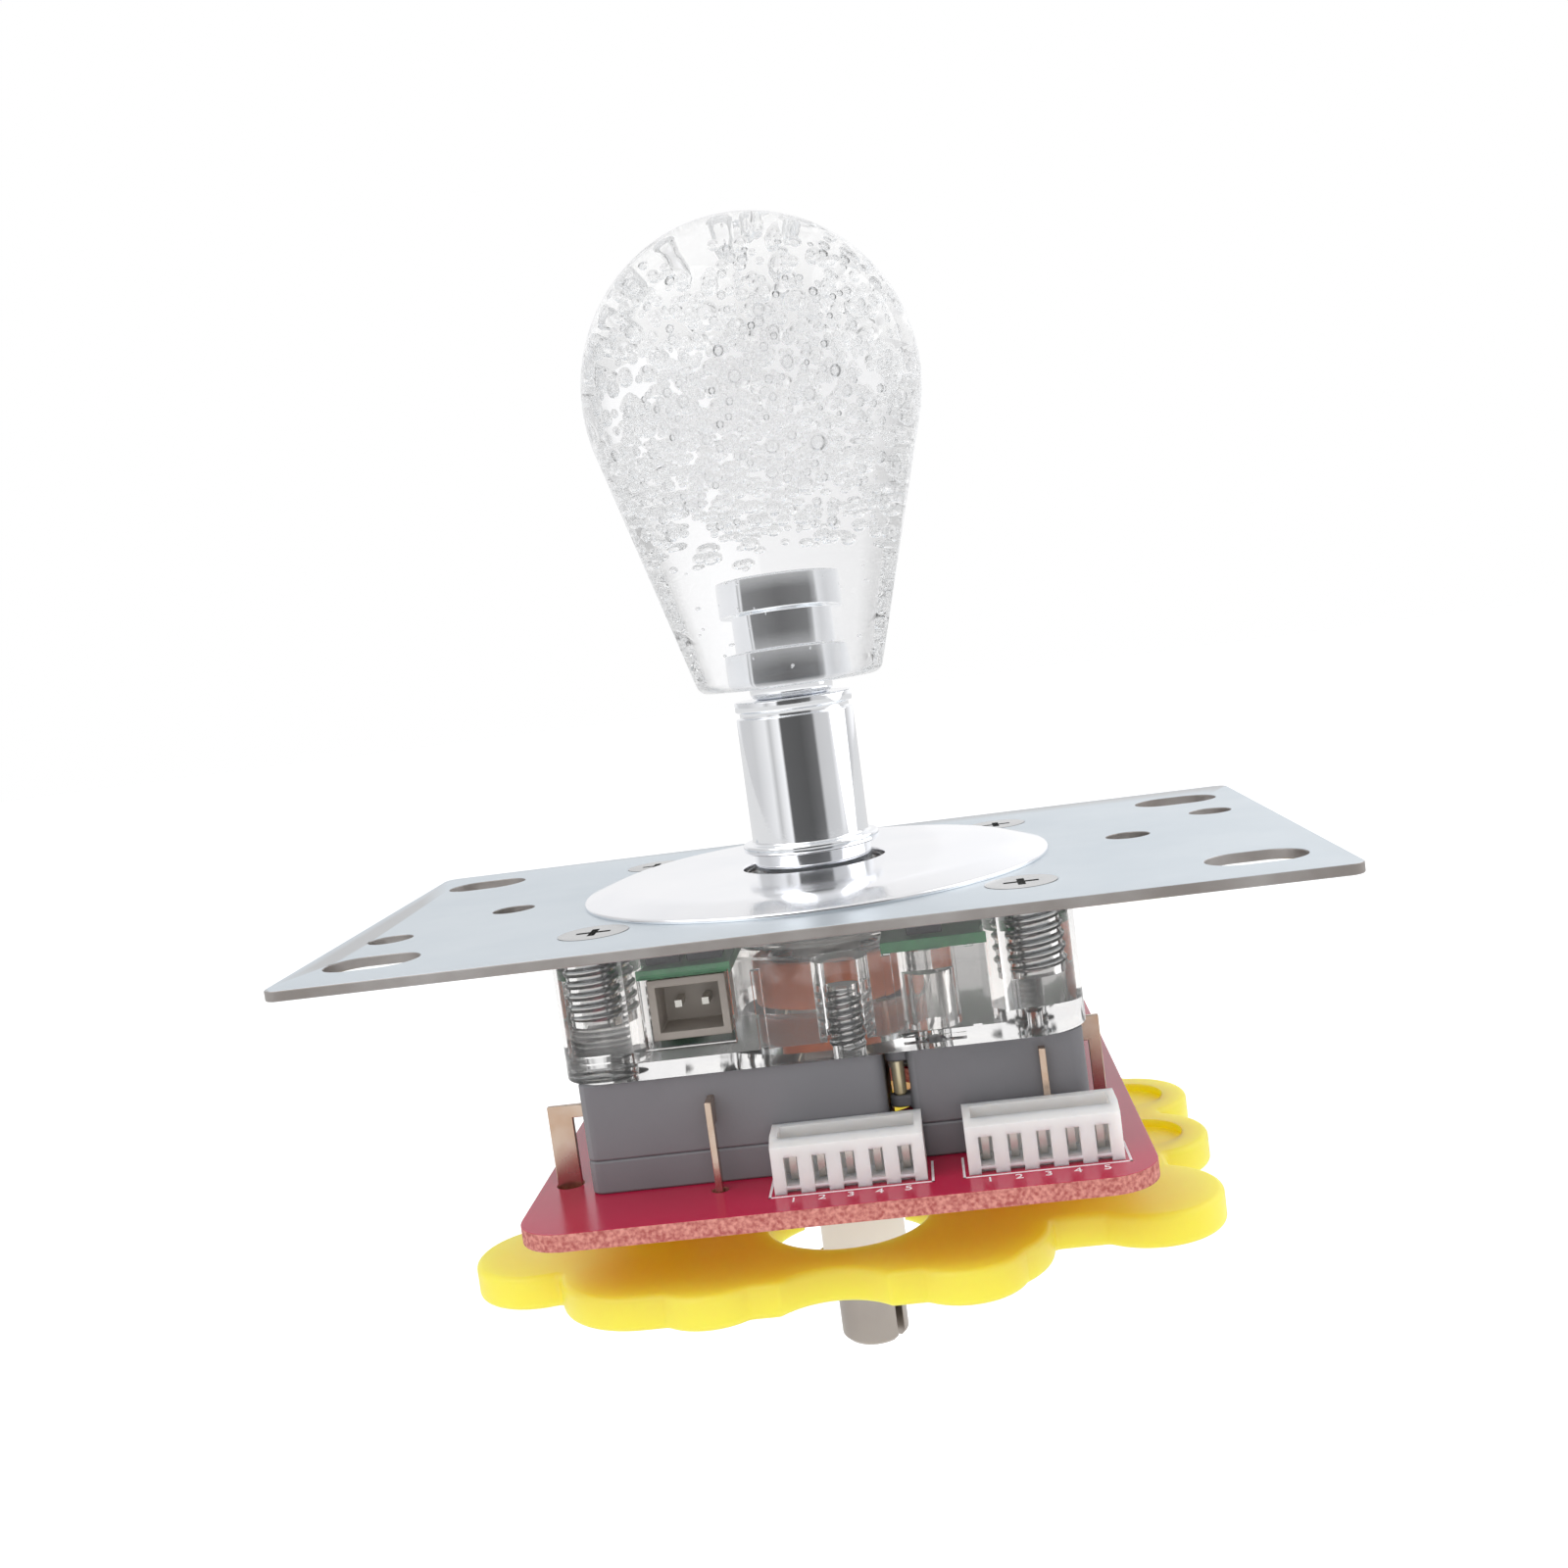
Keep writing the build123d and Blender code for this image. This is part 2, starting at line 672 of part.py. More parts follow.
# The header's two pins, standing on the back of its mouth
with BuildPart() as lamp_header_pins:
    with Locations((header_x, header_front + header_mouth_depth, lamp_board_bottom - header_height / 2)):
        with GridLocations(header_pitch, 0, 2, 1):
            Box(header_pin, header_pin_reach, header_pin, align=(Align.CENTER, Align.MAX, Align.CENTER))
lamp_header_pins.part.label = "lamp_header_pins"
export_step(lamp_header_pins.part, "parts/lamp_header_pins.step")

# Main circuit board, under the switches
com_y = -(switch_outer - common_place)
leg_y = -(switch_outer + terminal_reach - terminal_leg / 2)
with BuildPart() as main_board:
    with BuildSketch(Plane.XY.offset(board_bottom)):
        RectangleRounded(board_width, board_depth, board_corner)
        Circle(board_hole / 2, mode=Mode.SUBTRACT)
        with around(outer_hole):
            Circle(screw_hole / 2, mode=Mode.SUBTRACT)
        with around(inner_hole):
            Circle(screw_hole / 2, mode=Mode.SUBTRACT)
        with around((terminal_x, leg_y)):
            Circle(hypot(terminal_leg, terminal_thickness) / 2 + seat_gap, mode=Mode.SUBTRACT)
        for side, angle in sides:
            height, reach, leg = commons[side]
            with Locations(Location((0, 0, 0), (0, 0, angle))):
                with Locations((switch_left - reach + leg / 2, com_y)):
                    Circle(hypot(leg, terminal_thickness) / 2 + seat_gap, mode=Mode.SUBTRACT)
        with Locations((connector_left_x, connector_y), (connector_right_x, connector_y)):
            with GridLocations(connector_pitch, 0, connector_pins, 1):
                Circle(connector_pin * sqrt(2) / 2 + seat_gap, mode=Mode.SUBTRACT)
    extrude(amount=board_thickness)
main_board.part.label = "main_board"
export_step(main_board.part, "parts/main_board.step")

# Two open-topped connectors at the board's front edge, each with a slotted front wall and small feet
slot_middle = board_top + connector_slot_lift + connector_slot_height / 2
for name, connector_x in (("connector_left", connector_left_x), ("connector_right", connector_right_x)):
    connector_front = connector_y - connector_depth / 2
    with BuildPart() as connector:
        with BuildSketch(Plane.XY.offset(board_top)):
            with Locations((connector_x, connector_y)):
                Rectangle(connector_width, connector_depth)
        extrude(amount=connector_height)
        top_edges = connector.edges().group_by(Axis.Z)[-1].filter_by(Axis.X)
        chamfer(top_edges.sort_by(Axis.Y)[0], connector_bevel / 2, connector_bevel)
        with BuildSketch(Plane.XY.offset(board_top + connector_floor)):
            with Locations((connector_x, connector_y)):
                Rectangle(connector_width - 2 * connector_wall, connector_depth - 3 * connector_wall)
        extrude(amount=connector_height, mode=Mode.SUBTRACT)
        with Locations((connector_x, connector_front, slot_middle)):
            with GridLocations(connector_pitch, 0, connector_pins, 1):
                Box(connector_slot_width, 4 * connector_wall, connector_slot_height, mode=Mode.SUBTRACT)
        with Locations((connector_x, connector_front, board_top)):
            with GridLocations(connector_pitch, 0, connector_pins, 1):
                Box(connector_pitch / 2, 2 * connector_wall, 2 * connector_foot, mode=Mode.SUBTRACT)
        with BuildSketch(Plane.XY.offset(board_top)):
            with Locations((connector_x, connector_y)):
                with GridLocations(connector_pitch, 0, connector_pins, 1):
                    Rectangle(connector_pin + 2 * running_gap, connector_pin + 2 * running_gap)
        extrude(amount=connector_floor, mode=Mode.SUBTRACT)
    connector.part.label = name
    export_step(connector.part, f"parts/{name}.step")
    with BuildPart() as connector_pin_row:
        with BuildSketch(Plane.XY.offset(board_bottom - connector_pin_tail)):
            with Locations((connector_x, connector_y)):
                with GridLocations(connector_pitch, 0, connector_pins, 1):
                    Rectangle(connector_pin, connector_pin)
        extrude(amount=connector_pin_tail + board_thickness + connector_pin_height)
    connector_pin_row.part.label = f"{name}_pins"
    export_step(connector_pin_row.part, f"parts/{name}_pins.step")

# Four switches around the actuator, each lying flat between the housing and the board
for side, angle in sides:
    frame = Plane.XY.rotated((0, 0, angle))
    middle = ((switch_left + switch_end) / 2, -(switch_inner + switch_outer) / 2)
    plunger_plane = Plane(
        frame.from_local_coords((plunger_x, plunger_tip, lever_z)),
        x_dir=frame.x_dir,
        z_dir=-frame.y_dir,
    )
    case_plane = Plane(
        frame.from_local_coords((plunger_x, -switch_inner, lever_z)),
        x_dir=frame.x_dir,
        z_dir=-frame.y_dir,
    )

    # Case, with the plunger's bore, two lugs for the lever's hinge and room for the next switch's lever
    with BuildPart() as switch_case:
        with BuildSketch(frame.offset(switch_seam)):
            with Locations(middle):
                RectangleRounded(switch_length, switch_depth, switch_corner)
        extrude(amount=housing_bottom - switch_seam)
        lug_inner = lever_width / 2 + seat_gap
        for lug_bottom in (lever_z + lug_inner, lever_z - lug_inner - hinge_lug):
            with BuildSketch(frame.offset(lug_bottom)):
                with Locations((hinge_x, hinge_y)):
                    Circle(hinge_standoff)
                with Locations((hinge_x, -switch_inner)):
                    Rectangle(2 * hinge_standoff, 2 * hinge_standoff)
                with Locations((hinge_x, hinge_y)):
                    Circle(lever_trunnion / 2 + running_gap, mode=Mode.SUBTRACT)
            extrude(amount=hinge_lug)
        with BuildSketch(frame.offset(lever_z - lug_inner)):
            with BuildLine():
                Polyline(relief_far, relief_near, (switch_end, -switch_inner), close=True)
            make_face()
        extrude(amount=2 * lug_inner, mode=Mode.SUBTRACT)
        with BuildSketch(frame.offset(switch_seam)):
            with Locations(outer_hole, inner_hole):
                Circle(switch_hole / 2)
        extrude(amount=housing_bottom - switch_seam, mode=Mode.SUBTRACT)
        with BuildSketch(case_plane):
            Circle(plunger_diameter / 2 + running_gap)
        extrude(amount=plunger_bore_depth, mode=Mode.SUBTRACT)
    switch_case.part.label = f"switch_{side}_case"
    export_step(switch_case.part, f"parts/switch_{side}_case.step")

    # Cover, the thinner half that lies on the board
    with BuildPart() as switch_cover_half:
        with BuildSketch(frame.offset(board_top)):
            with Locations(middle):
                RectangleRounded(switch_length, switch_depth, switch_corner)
            with Locations(outer_hole, inner_hole):
                Circle(switch_hole / 2, mode=Mode.SUBTRACT)
        extrude(amount=switch_cover)
    switch_cover_half.part.label = f"switch_{side}_cover"
    export_step(switch_cover_half.part, f"parts/switch_{side}_cover.step")

    # Plunger, with a rounded tip under the lever
    with BuildPart() as switch_plunger:
        with BuildSketch(plunger_plane):
            Circle(plunger_diameter / 2)
        extrude(amount=plunger_length)
        tip = switch_plunger.faces().sort_by(Axis(plunger_plane.origin, plunger_plane.z_dir))[0]
        fillet(tip.edges(), plunger_diameter / 4)
    switch_plunger.part.label = f"switch_{side}_plunger"
    export_step(switch_plunger.part, f"parts/switch_{side}_plunger.step")

    # Lever, a flat strip rolled around its hinge end
    with BuildPart() as switch_lever:
        with BuildSketch(frame.offset(lever_z - lever_width / 2)):
            with Locations((hinge_x, hinge_y)):
                Circle(lever_barrel / 2)
            with Locations(Location((hinge_x, hinge_y, 0), (0, 0, lever_angle))):
                Rectangle(lever_end - hinge_x, lever_thickness, align=(Align.MIN, Align.CENTER))
        extrude(amount=lever_width)
        trunnion_length = lever_width + 2 * hinge_lug
        with BuildSketch(frame.offset(lever_z - trunnion_length / 2)):
            with Locations((hinge_x, hinge_y)):
                Circle(lever_trunnion / 2)
        extrude(amount=trunnion_length)
    switch_lever.part.label = f"switch_{side}_lever"
    export_step(switch_lever.part, f"parts/switch_{side}_lever.step")

    # Two blade terminals, bent down into the board; the right switch's end blade is short, behind a connector
    tail_bottom = board_bottom - terminal_tail
    height, reach, leg = commons[side]
    with BuildPart() as switch_terminals:
        blade_plane = upright(frame, (terminal_x, -switch_outer, 0), -frame.y_dir)
        with BuildSketch(blade_plane):
            with BuildLine():
                Polyline(
                    (0, board_top + terminal_height),
                    (terminal_reach, board_top + terminal_height),
                    (terminal_reach, tail_bottom),
                    (terminal_reach - terminal_leg, tail_bottom),
                    (terminal_reach - terminal_leg, board_top + terminal_height - terminal_arm),
                    (0, board_top + terminal_height - terminal_arm),
                    close=True,
                )
            make_face()
        extrude(amount=terminal_thickness / 2, both=True)
        common_plane = upright(frame, (switch_left, com_y, 0), -frame.x_dir)
        with BuildSketch(common_plane):
            with BuildLine():
                Polyline(
                    (0, board_top + height),
                    (reach, board_top + height),
                    (reach, tail_bottom),
                    (reach - leg, tail_bottom),
                    (reach - leg, board_top + height - terminal_leg),
                    (0, board_top + height - terminal_leg),
                    close=True,
                )
            make_face()
        extrude(amount=terminal_thickness / 2, both=True)
    switch_terminals.part.label = f"switch_{side}_terminals"
    export_step(switch_terminals.part, f"parts/switch_{side}_terminals.step")

# Screws from the board's underside, through the switches, into the housing
with BuildPart() as board_screws:
    with BuildSketch(Plane.XY.offset(board_bottom - screw_head_height)):
        with around(outer_hole):
            Circle(screw_head / 2)
    extrude(amount=screw_head_height)
    with BuildSketch(Plane.XY.offset(board_bottom)):
        with around(outer_hole):
            Circle(screw / 2)
    extrude(amount=housing_bottom + screw_in_pillar - board_bottom)
    with BuildSketch(Plane.XY.offset(board_bottom - screw_head_height)):
        with around(outer_hole):
            Rectangle(cross_length, cross_width)
            Rectangle(cross_width, cross_length)
    extrude(amount=cross_depth, mode=Mode.SUBTRACT)
board_screws.part.label = "board_screws"
export_step(board_screws.part, "parts/board_screws.step")

# Restrictor gate: a lobed plate with a square hole for the actuator, four windows and two stand-off bosses
gate_swing = (pivot_z - gate_bottom) * tan(radians(tilt_limit)) / cos(radians(tilt_limit))
gate_hole = actuator_diameter / cos(radians(tilt_limit)) + 2 * gate_swing + 2 * free_gap
arch_y = gate_front_reach + gate_arch / 2 - gate_arch_depth
window_middle = gate_window_reach - gate_window / 2
window_start = gate_hole / 2 + gate_bar
bar_length = 2 * sqrt((gate_window / 2) ** 2 - (window_middle - window_start) ** 2)
with BuildPart() as restrictor_gate:
    with BuildSketch(Plane.XY.offset(gate_bottom)):
        RectangleRounded(gate_length, gate_depth, gate_corner)
        with Locations((gate_front_x, -gate_front_reach / 2), (-gate_front_x, gate_front_reach / 2)):
            RectangleRounded(gate_front_width, gate_front_reach, gate_front_corner)
        for bump_x in (gate_bump_left, gate_bump_right):
            with Locations((bump_x, -gate_bump_y), (-bump_x, gate_bump_y)):
                Circle(gate_bump / 2)
        with Locations(*gate_front_lobes, *gate_right_lobes):
            Circle(gate_lobe / 2)
        with Locations((gate_arch_x, -arch_y), (-gate_arch_x, arch_y)):
            Circle(gate_arch / 2, mode=Mode.SUBTRACT)
        offset(amount=gate_notch)
        offset(amount=-2 * gate_notch)
        offset(amount=gate_notch)
    extrude(amount=gate_thickness)
    fillet(restrictor_gate.faces().filter_by(Axis.Z).edges(), gate_edge)
    with BuildSketch(Plane.XY.offset(gate_top)):
        with across(inner_hole):
            Circle(gate_boss / 2)
    extrude(amount=gate_standoff)
    with BuildSketch(Plane.XY.offset(gate_bottom)):
        with around((0, -window_middle)):
            Circle(gate_window / 2)
        Rectangle(2 * window_start, 2 * window_start, mode=Mode.SUBTRACT)
        RectangleRounded(gate_hole, gate_hole, gate_hole_corner)
    extrude(amount=gate_thickness, mode=Mode.SUBTRACT)
    with BuildSketch(Plane.XY.offset(gate_bottom)):
        with around((0, -(window_start - gate_bar / 2))):
            Rectangle(gate_bar, bar_length)
    extrude(amount=gate_thickness - gate_bar_height, mode=Mode.SUBTRACT)
    with BuildSketch(Plane.XY.offset(gate_top)):
        with Locations(*gate_right_lobes):
            Circle(gate_dimple / 2)
    extrude(amount=-gate_dimple_depth, mode=Mode.SUBTRACT)
    with BuildSketch(Plane.XY.offset(gate_bottom)):
        with across(inner_hole):
            Circle(screw_hole / 2)
    extrude(amount=gate_thickness + gate_standoff, mode=Mode.SUBTRACT)
    with BuildSketch(Plane.XY.offset(gate_bottom)):
        with across(inner_hole):
            Circle(screw_head / 2 + seat_gap)
    extrude(amount=screw_head_height, mode=Mode.SUBTRACT)
restrictor_gate.part.label = "restrictor_gate"
export_step(restrictor_gate.part, "parts/restrictor_gate.step")

# Long screws from the gate's underside, through the board and the switches, into the housing
with BuildPart() as gate_screws:
    with BuildSketch(Plane.XY.offset(gate_bottom)):
        with across(inner_hole):
            Circle(screw_head / 2)
    extrude(amount=screw_head_height)
    with BuildSketch(Plane.XY.offset(gate_bottom + screw_head_height)):
        with across(inner_hole):
            Circle(screw / 2)
    extrude(amount=housing_bottom + screw_in_pillar - gate_bottom - screw_head_height)
    with BuildSketch(Plane.XY.offset(gate_bottom)):
        with across(inner_hole):
            Rectangle(cross_length, cross_width)
            Rectangle(cross_width, cross_length)
    extrude(amount=cross_depth, mode=Mode.SUBTRACT)
gate_screws.part.label = "gate_screws"
export_step(gate_screws.part, "parts/gate_screws.step")
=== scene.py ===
import json
import math

import bmesh
import bpy
import numpy as np
from mathutils import Matrix, Vector

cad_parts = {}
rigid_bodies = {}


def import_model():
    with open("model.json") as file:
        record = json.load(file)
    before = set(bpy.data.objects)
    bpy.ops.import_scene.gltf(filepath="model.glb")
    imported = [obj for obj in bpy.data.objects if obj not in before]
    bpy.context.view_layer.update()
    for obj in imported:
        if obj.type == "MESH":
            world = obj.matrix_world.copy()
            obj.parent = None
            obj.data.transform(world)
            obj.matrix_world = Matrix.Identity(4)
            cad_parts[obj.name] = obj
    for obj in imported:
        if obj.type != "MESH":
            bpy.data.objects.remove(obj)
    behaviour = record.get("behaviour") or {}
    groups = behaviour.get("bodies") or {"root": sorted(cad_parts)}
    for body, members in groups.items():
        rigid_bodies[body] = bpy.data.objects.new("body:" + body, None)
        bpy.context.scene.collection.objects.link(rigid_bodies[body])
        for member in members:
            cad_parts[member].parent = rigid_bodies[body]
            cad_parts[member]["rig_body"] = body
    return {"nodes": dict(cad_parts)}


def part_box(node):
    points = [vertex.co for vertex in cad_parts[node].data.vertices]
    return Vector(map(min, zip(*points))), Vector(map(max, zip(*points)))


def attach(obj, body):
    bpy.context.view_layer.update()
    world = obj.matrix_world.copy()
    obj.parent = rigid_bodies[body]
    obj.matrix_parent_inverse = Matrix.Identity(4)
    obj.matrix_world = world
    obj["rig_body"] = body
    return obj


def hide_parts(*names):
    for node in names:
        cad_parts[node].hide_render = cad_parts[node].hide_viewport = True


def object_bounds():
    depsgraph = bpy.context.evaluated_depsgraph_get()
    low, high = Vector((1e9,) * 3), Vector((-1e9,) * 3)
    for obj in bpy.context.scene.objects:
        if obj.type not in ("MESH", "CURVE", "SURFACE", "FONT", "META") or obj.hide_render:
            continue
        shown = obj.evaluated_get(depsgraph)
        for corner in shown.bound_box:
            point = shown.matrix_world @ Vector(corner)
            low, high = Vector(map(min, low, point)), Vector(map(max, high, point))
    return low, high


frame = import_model()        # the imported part, in metres, is the fixed frame
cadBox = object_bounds()
frameFinishes = len(bpy.data.materials)
mm = 0.001
fullTurn = 2 * math.pi
bodyOf = {node: obj["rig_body"] for node, obj in frame["nodes"].items()}
sideNames = ("front", "right", "back", "left")


# Measures and meshes

meshing = {"merge": 1e-7, "sliver": 1e-8, "nodeMerge": 2e-6,        # metres
           "flatWithin": 0.6, "bevelFrom": 32, "bevelSegments": 2}        # degrees, and a count


def extent(node):        # lowest and highest corner of a node, in millimetres
    low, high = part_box(node)
    return np.array(low) / mm, np.array(high) / mm


def gridQuads(rows, cols):        # quads between neighbouring rows, with the last column joined to the first
    row, col = np.meshgrid(np.arange(rows - 1), np.arange(cols), indexing="ij")
    beside = (col + 1) % cols
    lower, upper = row * cols, (row + 1) * cols
    return np.stack([lower + col, lower + beside, upper + beside, upper + col], -1).reshape(-1, 4)


def outward(points, quads, void=False):
    # turned so that the enclosed volume is positive, or negative for a void
    a, b, c, d = (points[quads[:, k]] for k in range(4))
    volume = (a * np.cross(b, c)).sum() + (a * np.cross(c, d)).sum()
    return quads if (volume > 0) != void else quads[:, ::-1]


def makeMesh(name, points, quads):        # from millimetres; doubled points at poles and seams are merged
    mesh = bpy.data.meshes.new(name)
    mesh.from_pydata((points * mm).tolist(), [], quads.tolist())
    shape = bmesh.new()
    shape.from_mesh(mesh)
    bmesh.ops.remove_doubles(shape, verts=shape.verts, dist=meshing["merge"])
    bmesh.ops.dissolve_degenerate(shape, edges=shape.edges, dist=meshing["sliver"])
    shape.to_mesh(mesh)
    shape.free()
    return mesh


def lathePoints(profile, cols, centre=(0.0, 0.0)):
    # profile of (radius, height) turned about the axis: x = r cos a, y = r sin a, z = h
    turn = np.linspace(0, fullTurn, cols, endpoint=False)
    radius, height = profile[:, :1], profile[:, 1:]
    ring = np.stack([centre[0] + radius * np.cos(turn), centre[1] + radius * np.sin(turn),
                     height + 0 * turn], -1)
    return ring.reshape(-1, 3), gridQuads(len(profile), cols)


def softCorners(corners, steps, most=0.45):
    # each corner (radius, height, rounding) becomes a parabola tangent to both of its runs, and takes at most
    # the given share of each run; a rounding of 0 leaves it sharp
    corners = np.array(corners, float)
    places = corners[:, :2]
    rounding = corners[:, 2]
    blend = np.linspace(0, 1, steps)[:, None]
    out = [places[:1]]
    for before, corner, after, size in zip(places[:-2], places[1:-1], places[2:], rounding[1:-1]):
        if size == 0:
            out.append(corner[None])
            continue
        back, ahead = before - corner, after - corner
        back *= min(size, most * np.linalg.norm(back)) / np.linalg.norm(back)
        ahead *= min(size, most * np.linalg.norm(ahead)) / np.linalg.norm(ahead)
        out.append(corner + back * (1 - blend) ** 2 + ahead * blend ** 2)
    out.append(places[-1:])
    return np.concatenate(out)


def joined(parts):        # several (points, quads) sets as one
    pointSets, quadSets = zip(*parts)
    shifts = np.cumsum([0] + [len(points) for points in pointSets[:-1]])
    quads = np.concatenate([quads + shift for quads, shift in zip(quadSets, shifts)])
    return np.concatenate(pointSets), quads


def addPiece(name, mesh, material, body, stands=(), sharp=40):        # sharp edges from this angle up
    mesh.materials.append(material)
    mesh.shade_smooth()
    mesh.set_sharp_from_angle(angle=math.radians(sharp))
    piece = bpy.data.objects.new(name, mesh)
    bpy.context.scene.collection.objects.link(piece)
    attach(piece, body)
    if stands:
        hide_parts(*stands)
    return piece


def turned(name, corners, material, node, cols=128, steps=6):        # a lathe piece that stands for a node
    points, quads = lathePoints(softCorners(corners, steps), cols)
    mesh = makeMesh(name, points, outward(points, quads))
    return addPiece(name, mesh, material, bodyOf[node], [node])


def copiedMesh(node, name, bevelled, gap):
    # a node's triangles with their doubles merged, and flat faces made whole where edges will be bevelled;
    # a gap draws top and bottom in, so that air stays between clear plastic and what it lies on
    source = frame["nodes"][node].data
    places = np.empty(3 * len(source.vertices), np.float32)
    source.vertices.foreach_get("co", places)
    low, high = extent(node)
    places[2::3] = np.clip(places[2::3], (low[2] + gap) * mm, (high[2] - gap) * mm)
    corners = np.empty(len(source.loops), np.int32)
    source.loops.foreach_get("vertex_index", corners)
    mesh = bpy.data.meshes.new(name)
    mesh.from_pydata(places.reshape(-1, 3).tolist(), [], corners.reshape(-1, 3).tolist())
    shape = bmesh.new()
    shape.from_mesh(mesh)
    bmesh.ops.remove_doubles(shape, verts=shape.verts, dist=meshing["nodeMerge"])
    if bevelled:
        bmesh.ops.dissolve_limit(shape, angle_limit=math.radians(meshing["flatWithin"]), verts=shape.verts,
                                 edges=shape.edges)
    shape.to_mesh(mesh)
    shape.free()
    return mesh


def eased(node, material, width, second=None, gap=0.0):
    # copy of a node with a small bevel along its edges, or none where width is 0; second holds another finish
    # and a test of normals, and the faces that pass it get that finish
    first, *others = node.split("_")
    name = first + "".join(word.title() for word in others)
    mesh = copiedMesh(node, name, width > 0, gap)
    piece = addPiece(name, mesh, material, bodyOf[node], [node], sharp=60)
    if second:
        finish, passes = second
        mesh.materials.append(finish)
        normals = np.empty(3 * len(mesh.polygons), np.float32)
        mesh.polygons.foreach_get("normal", normals)
        mesh.polygons.foreach_set("material_index", passes(normals.reshape(-1, 3)).astype(np.int32))
    if width:
        bevel = piece.modifiers.new("easedEdges", "BEVEL")
        bevel.width = width * mm
        bevel.segments = meshing["bevelSegments"]
        bevel.limit_method = "ANGLE"
        bevel.angle_limit = math.radians(meshing["bevelFrom"])
        bevel.use_clamp_overlap = False
        weigh = piece.modifiers.new("flatFaces", "WEIGHTED_NORMAL")
        weigh.keep_sharp = True
    return piece


# Shared shader groups

def newGroup(name, inputs, outputs):
    group = bpy.data.node_groups.new(name, "ShaderNodeTree")
    kinds = {float: "NodeSocketFloat", tuple: "NodeSocketColor"}
    for label, value in inputs.items():
        socket = group.interface.new_socket(label, in_out="INPUT", socket_type=kinds[type(value)])
        socket.default_value = value
    for label, kind in outputs.items():
        group.interface.new_socket(label, in_out="OUTPUT", socket_type=kinds[kind])
    return group, group.nodes.new("NodeGroupInput"), group.nodes.new("NodeGroupOutput")


def addNode(tree, kind, values=None, **settings):        # a node with its settings and its plain input values
    node = tree.nodes.new(kind)
    for key, value in settings.items():
        setattr(node, key, value)
    for key, value in (values or {}).items():
        node.inputs[key].default_value = value
    return node


def makeGrain():        # fine moulded grain: noise in several octaves
    group, given, out = newGroup("fineGrain", {"Scale": 1500.0}, {"Height": float})
    where = addNode(group, "ShaderNodeTexCoord")
    noise = addNode(group, "ShaderNodeTexNoise", {"Detail": 4.0, "Roughness": 0.5})
    group.links.new(where.outputs["Object"], noise.inputs["Vector"])
    group.links.new(given.outputs["Scale"], noise.inputs["Scale"])
    group.links.new(noise.outputs["Fac"], out.inputs["Height"])
    return group


def makeGloss():        # roughness that drifts with handling: base + spread x (noise - 0.5)
    group, given, out = newGroup("handledGloss", {"Base": 0.3, "Spread": 0.1, "Scale": 120.0},
                                 {"Roughness": float})
    where = addNode(group, "ShaderNodeTexCoord")
    noise = addNode(group, "ShaderNodeTexNoise", {"Detail": 3.0})
    centred = addNode(group, "ShaderNodeMath", {1: 0.5}, operation="SUBTRACT")
    swing = addNode(group, "ShaderNodeMath", operation="MULTIPLY_ADD", use_clamp=True)
    group.links.new(where.outputs["Object"], noise.inputs["Vector"])
    group.links.new(given.outputs["Scale"], noise.inputs["Scale"])
    group.links.new(noise.outputs["Fac"], centred.inputs[0])
    group.links.new(centred.outputs[0], swing.inputs[0])
    group.links.new(given.outputs["Spread"], swing.inputs[1])
    group.links.new(given.outputs["Base"], swing.inputs[2])
    group.links.new(swing.outputs[0], out.inputs["Roughness"])
    return group


def makeTint():        # colour that drifts between two tints, with the edges going to a third
    group, given, out = newGroup(
        "tintDrift",
        {"Color": (0.5, 0.5, 0.5, 1.0), "Other": (0.4, 0.4, 0.4, 1.0), "Edge": (0.6, 0.6, 0.6, 1.0),
         "Scale": 60.0, "Worn": 0.0},
        {"Color": tuple})
    where = addNode(group, "ShaderNodeTexCoord")
    noise = addNode(group, "ShaderNodeTexNoise", {"Detail": 5.0})
    spread = addNode(group, "ShaderNodeMapRange", {"From Min": 0.35, "From Max": 0.65})
    drift = addNode(group, "ShaderNodeMix", data_type="RGBA")
    shape = addNode(group, "ShaderNodeNewGeometry")
    crest = addNode(group, "ShaderNodeMapRange", {"From Min": 0.53, "From Max": 0.62})
    worn = addNode(group, "ShaderNodeMath", operation="MULTIPLY", use_clamp=True)
    edge = addNode(group, "ShaderNodeMix", data_type="RGBA")
    group.links.new(where.outputs["Object"], noise.inputs["Vector"])
    group.links.new(given.outputs["Scale"], noise.inputs["Scale"])
    group.links.new(noise.outputs["Fac"], spread.inputs["Value"])
    group.links.new(spread.outputs["Result"], drift.inputs["Factor"])
    group.links.new(given.outputs["Color"], drift.inputs["A"])
    group.links.new(given.outputs["Other"], drift.inputs["B"])
    group.links.new(shape.outputs["Pointiness"], crest.inputs["Value"])
    group.links.new(crest.outputs["Result"], worn.inputs[0])
    group.links.new(given.outputs["Worn"], worn.inputs[1])
    group.links.new(worn.outputs[0], edge.inputs["Factor"])
    group.links.new(drift.outputs["Result"], edge.inputs["A"])
    group.links.new(given.outputs["Edge"], edge.inputs["B"])
    group.links.new(edge.outputs["Result"], out.inputs["Color"])
    return group


fineGrain, handledGloss, tintDrift = makeGrain(), makeGloss(), makeTint()


# Finishes

plainLook = {"driftScale": 90.0, "worn": 0.0, "spread": 0.08, "glossScale": 200.0, "grain": 0.1,
             "grainScale": 2500.0, "grainDepth": 0.05, "sockets": {}}        # depth in millimetres


def shade(red, green, blue):        # a colour given as it looks on a screen, 0 to 255, as a linear one
    value = np.array([red, green, blue]) / 255
    linear = np.where(value <= 0.04045, value / 12.92, ((value + 0.055) / 1.055) ** 2.4)
    return (*linear.tolist(), 1.0)


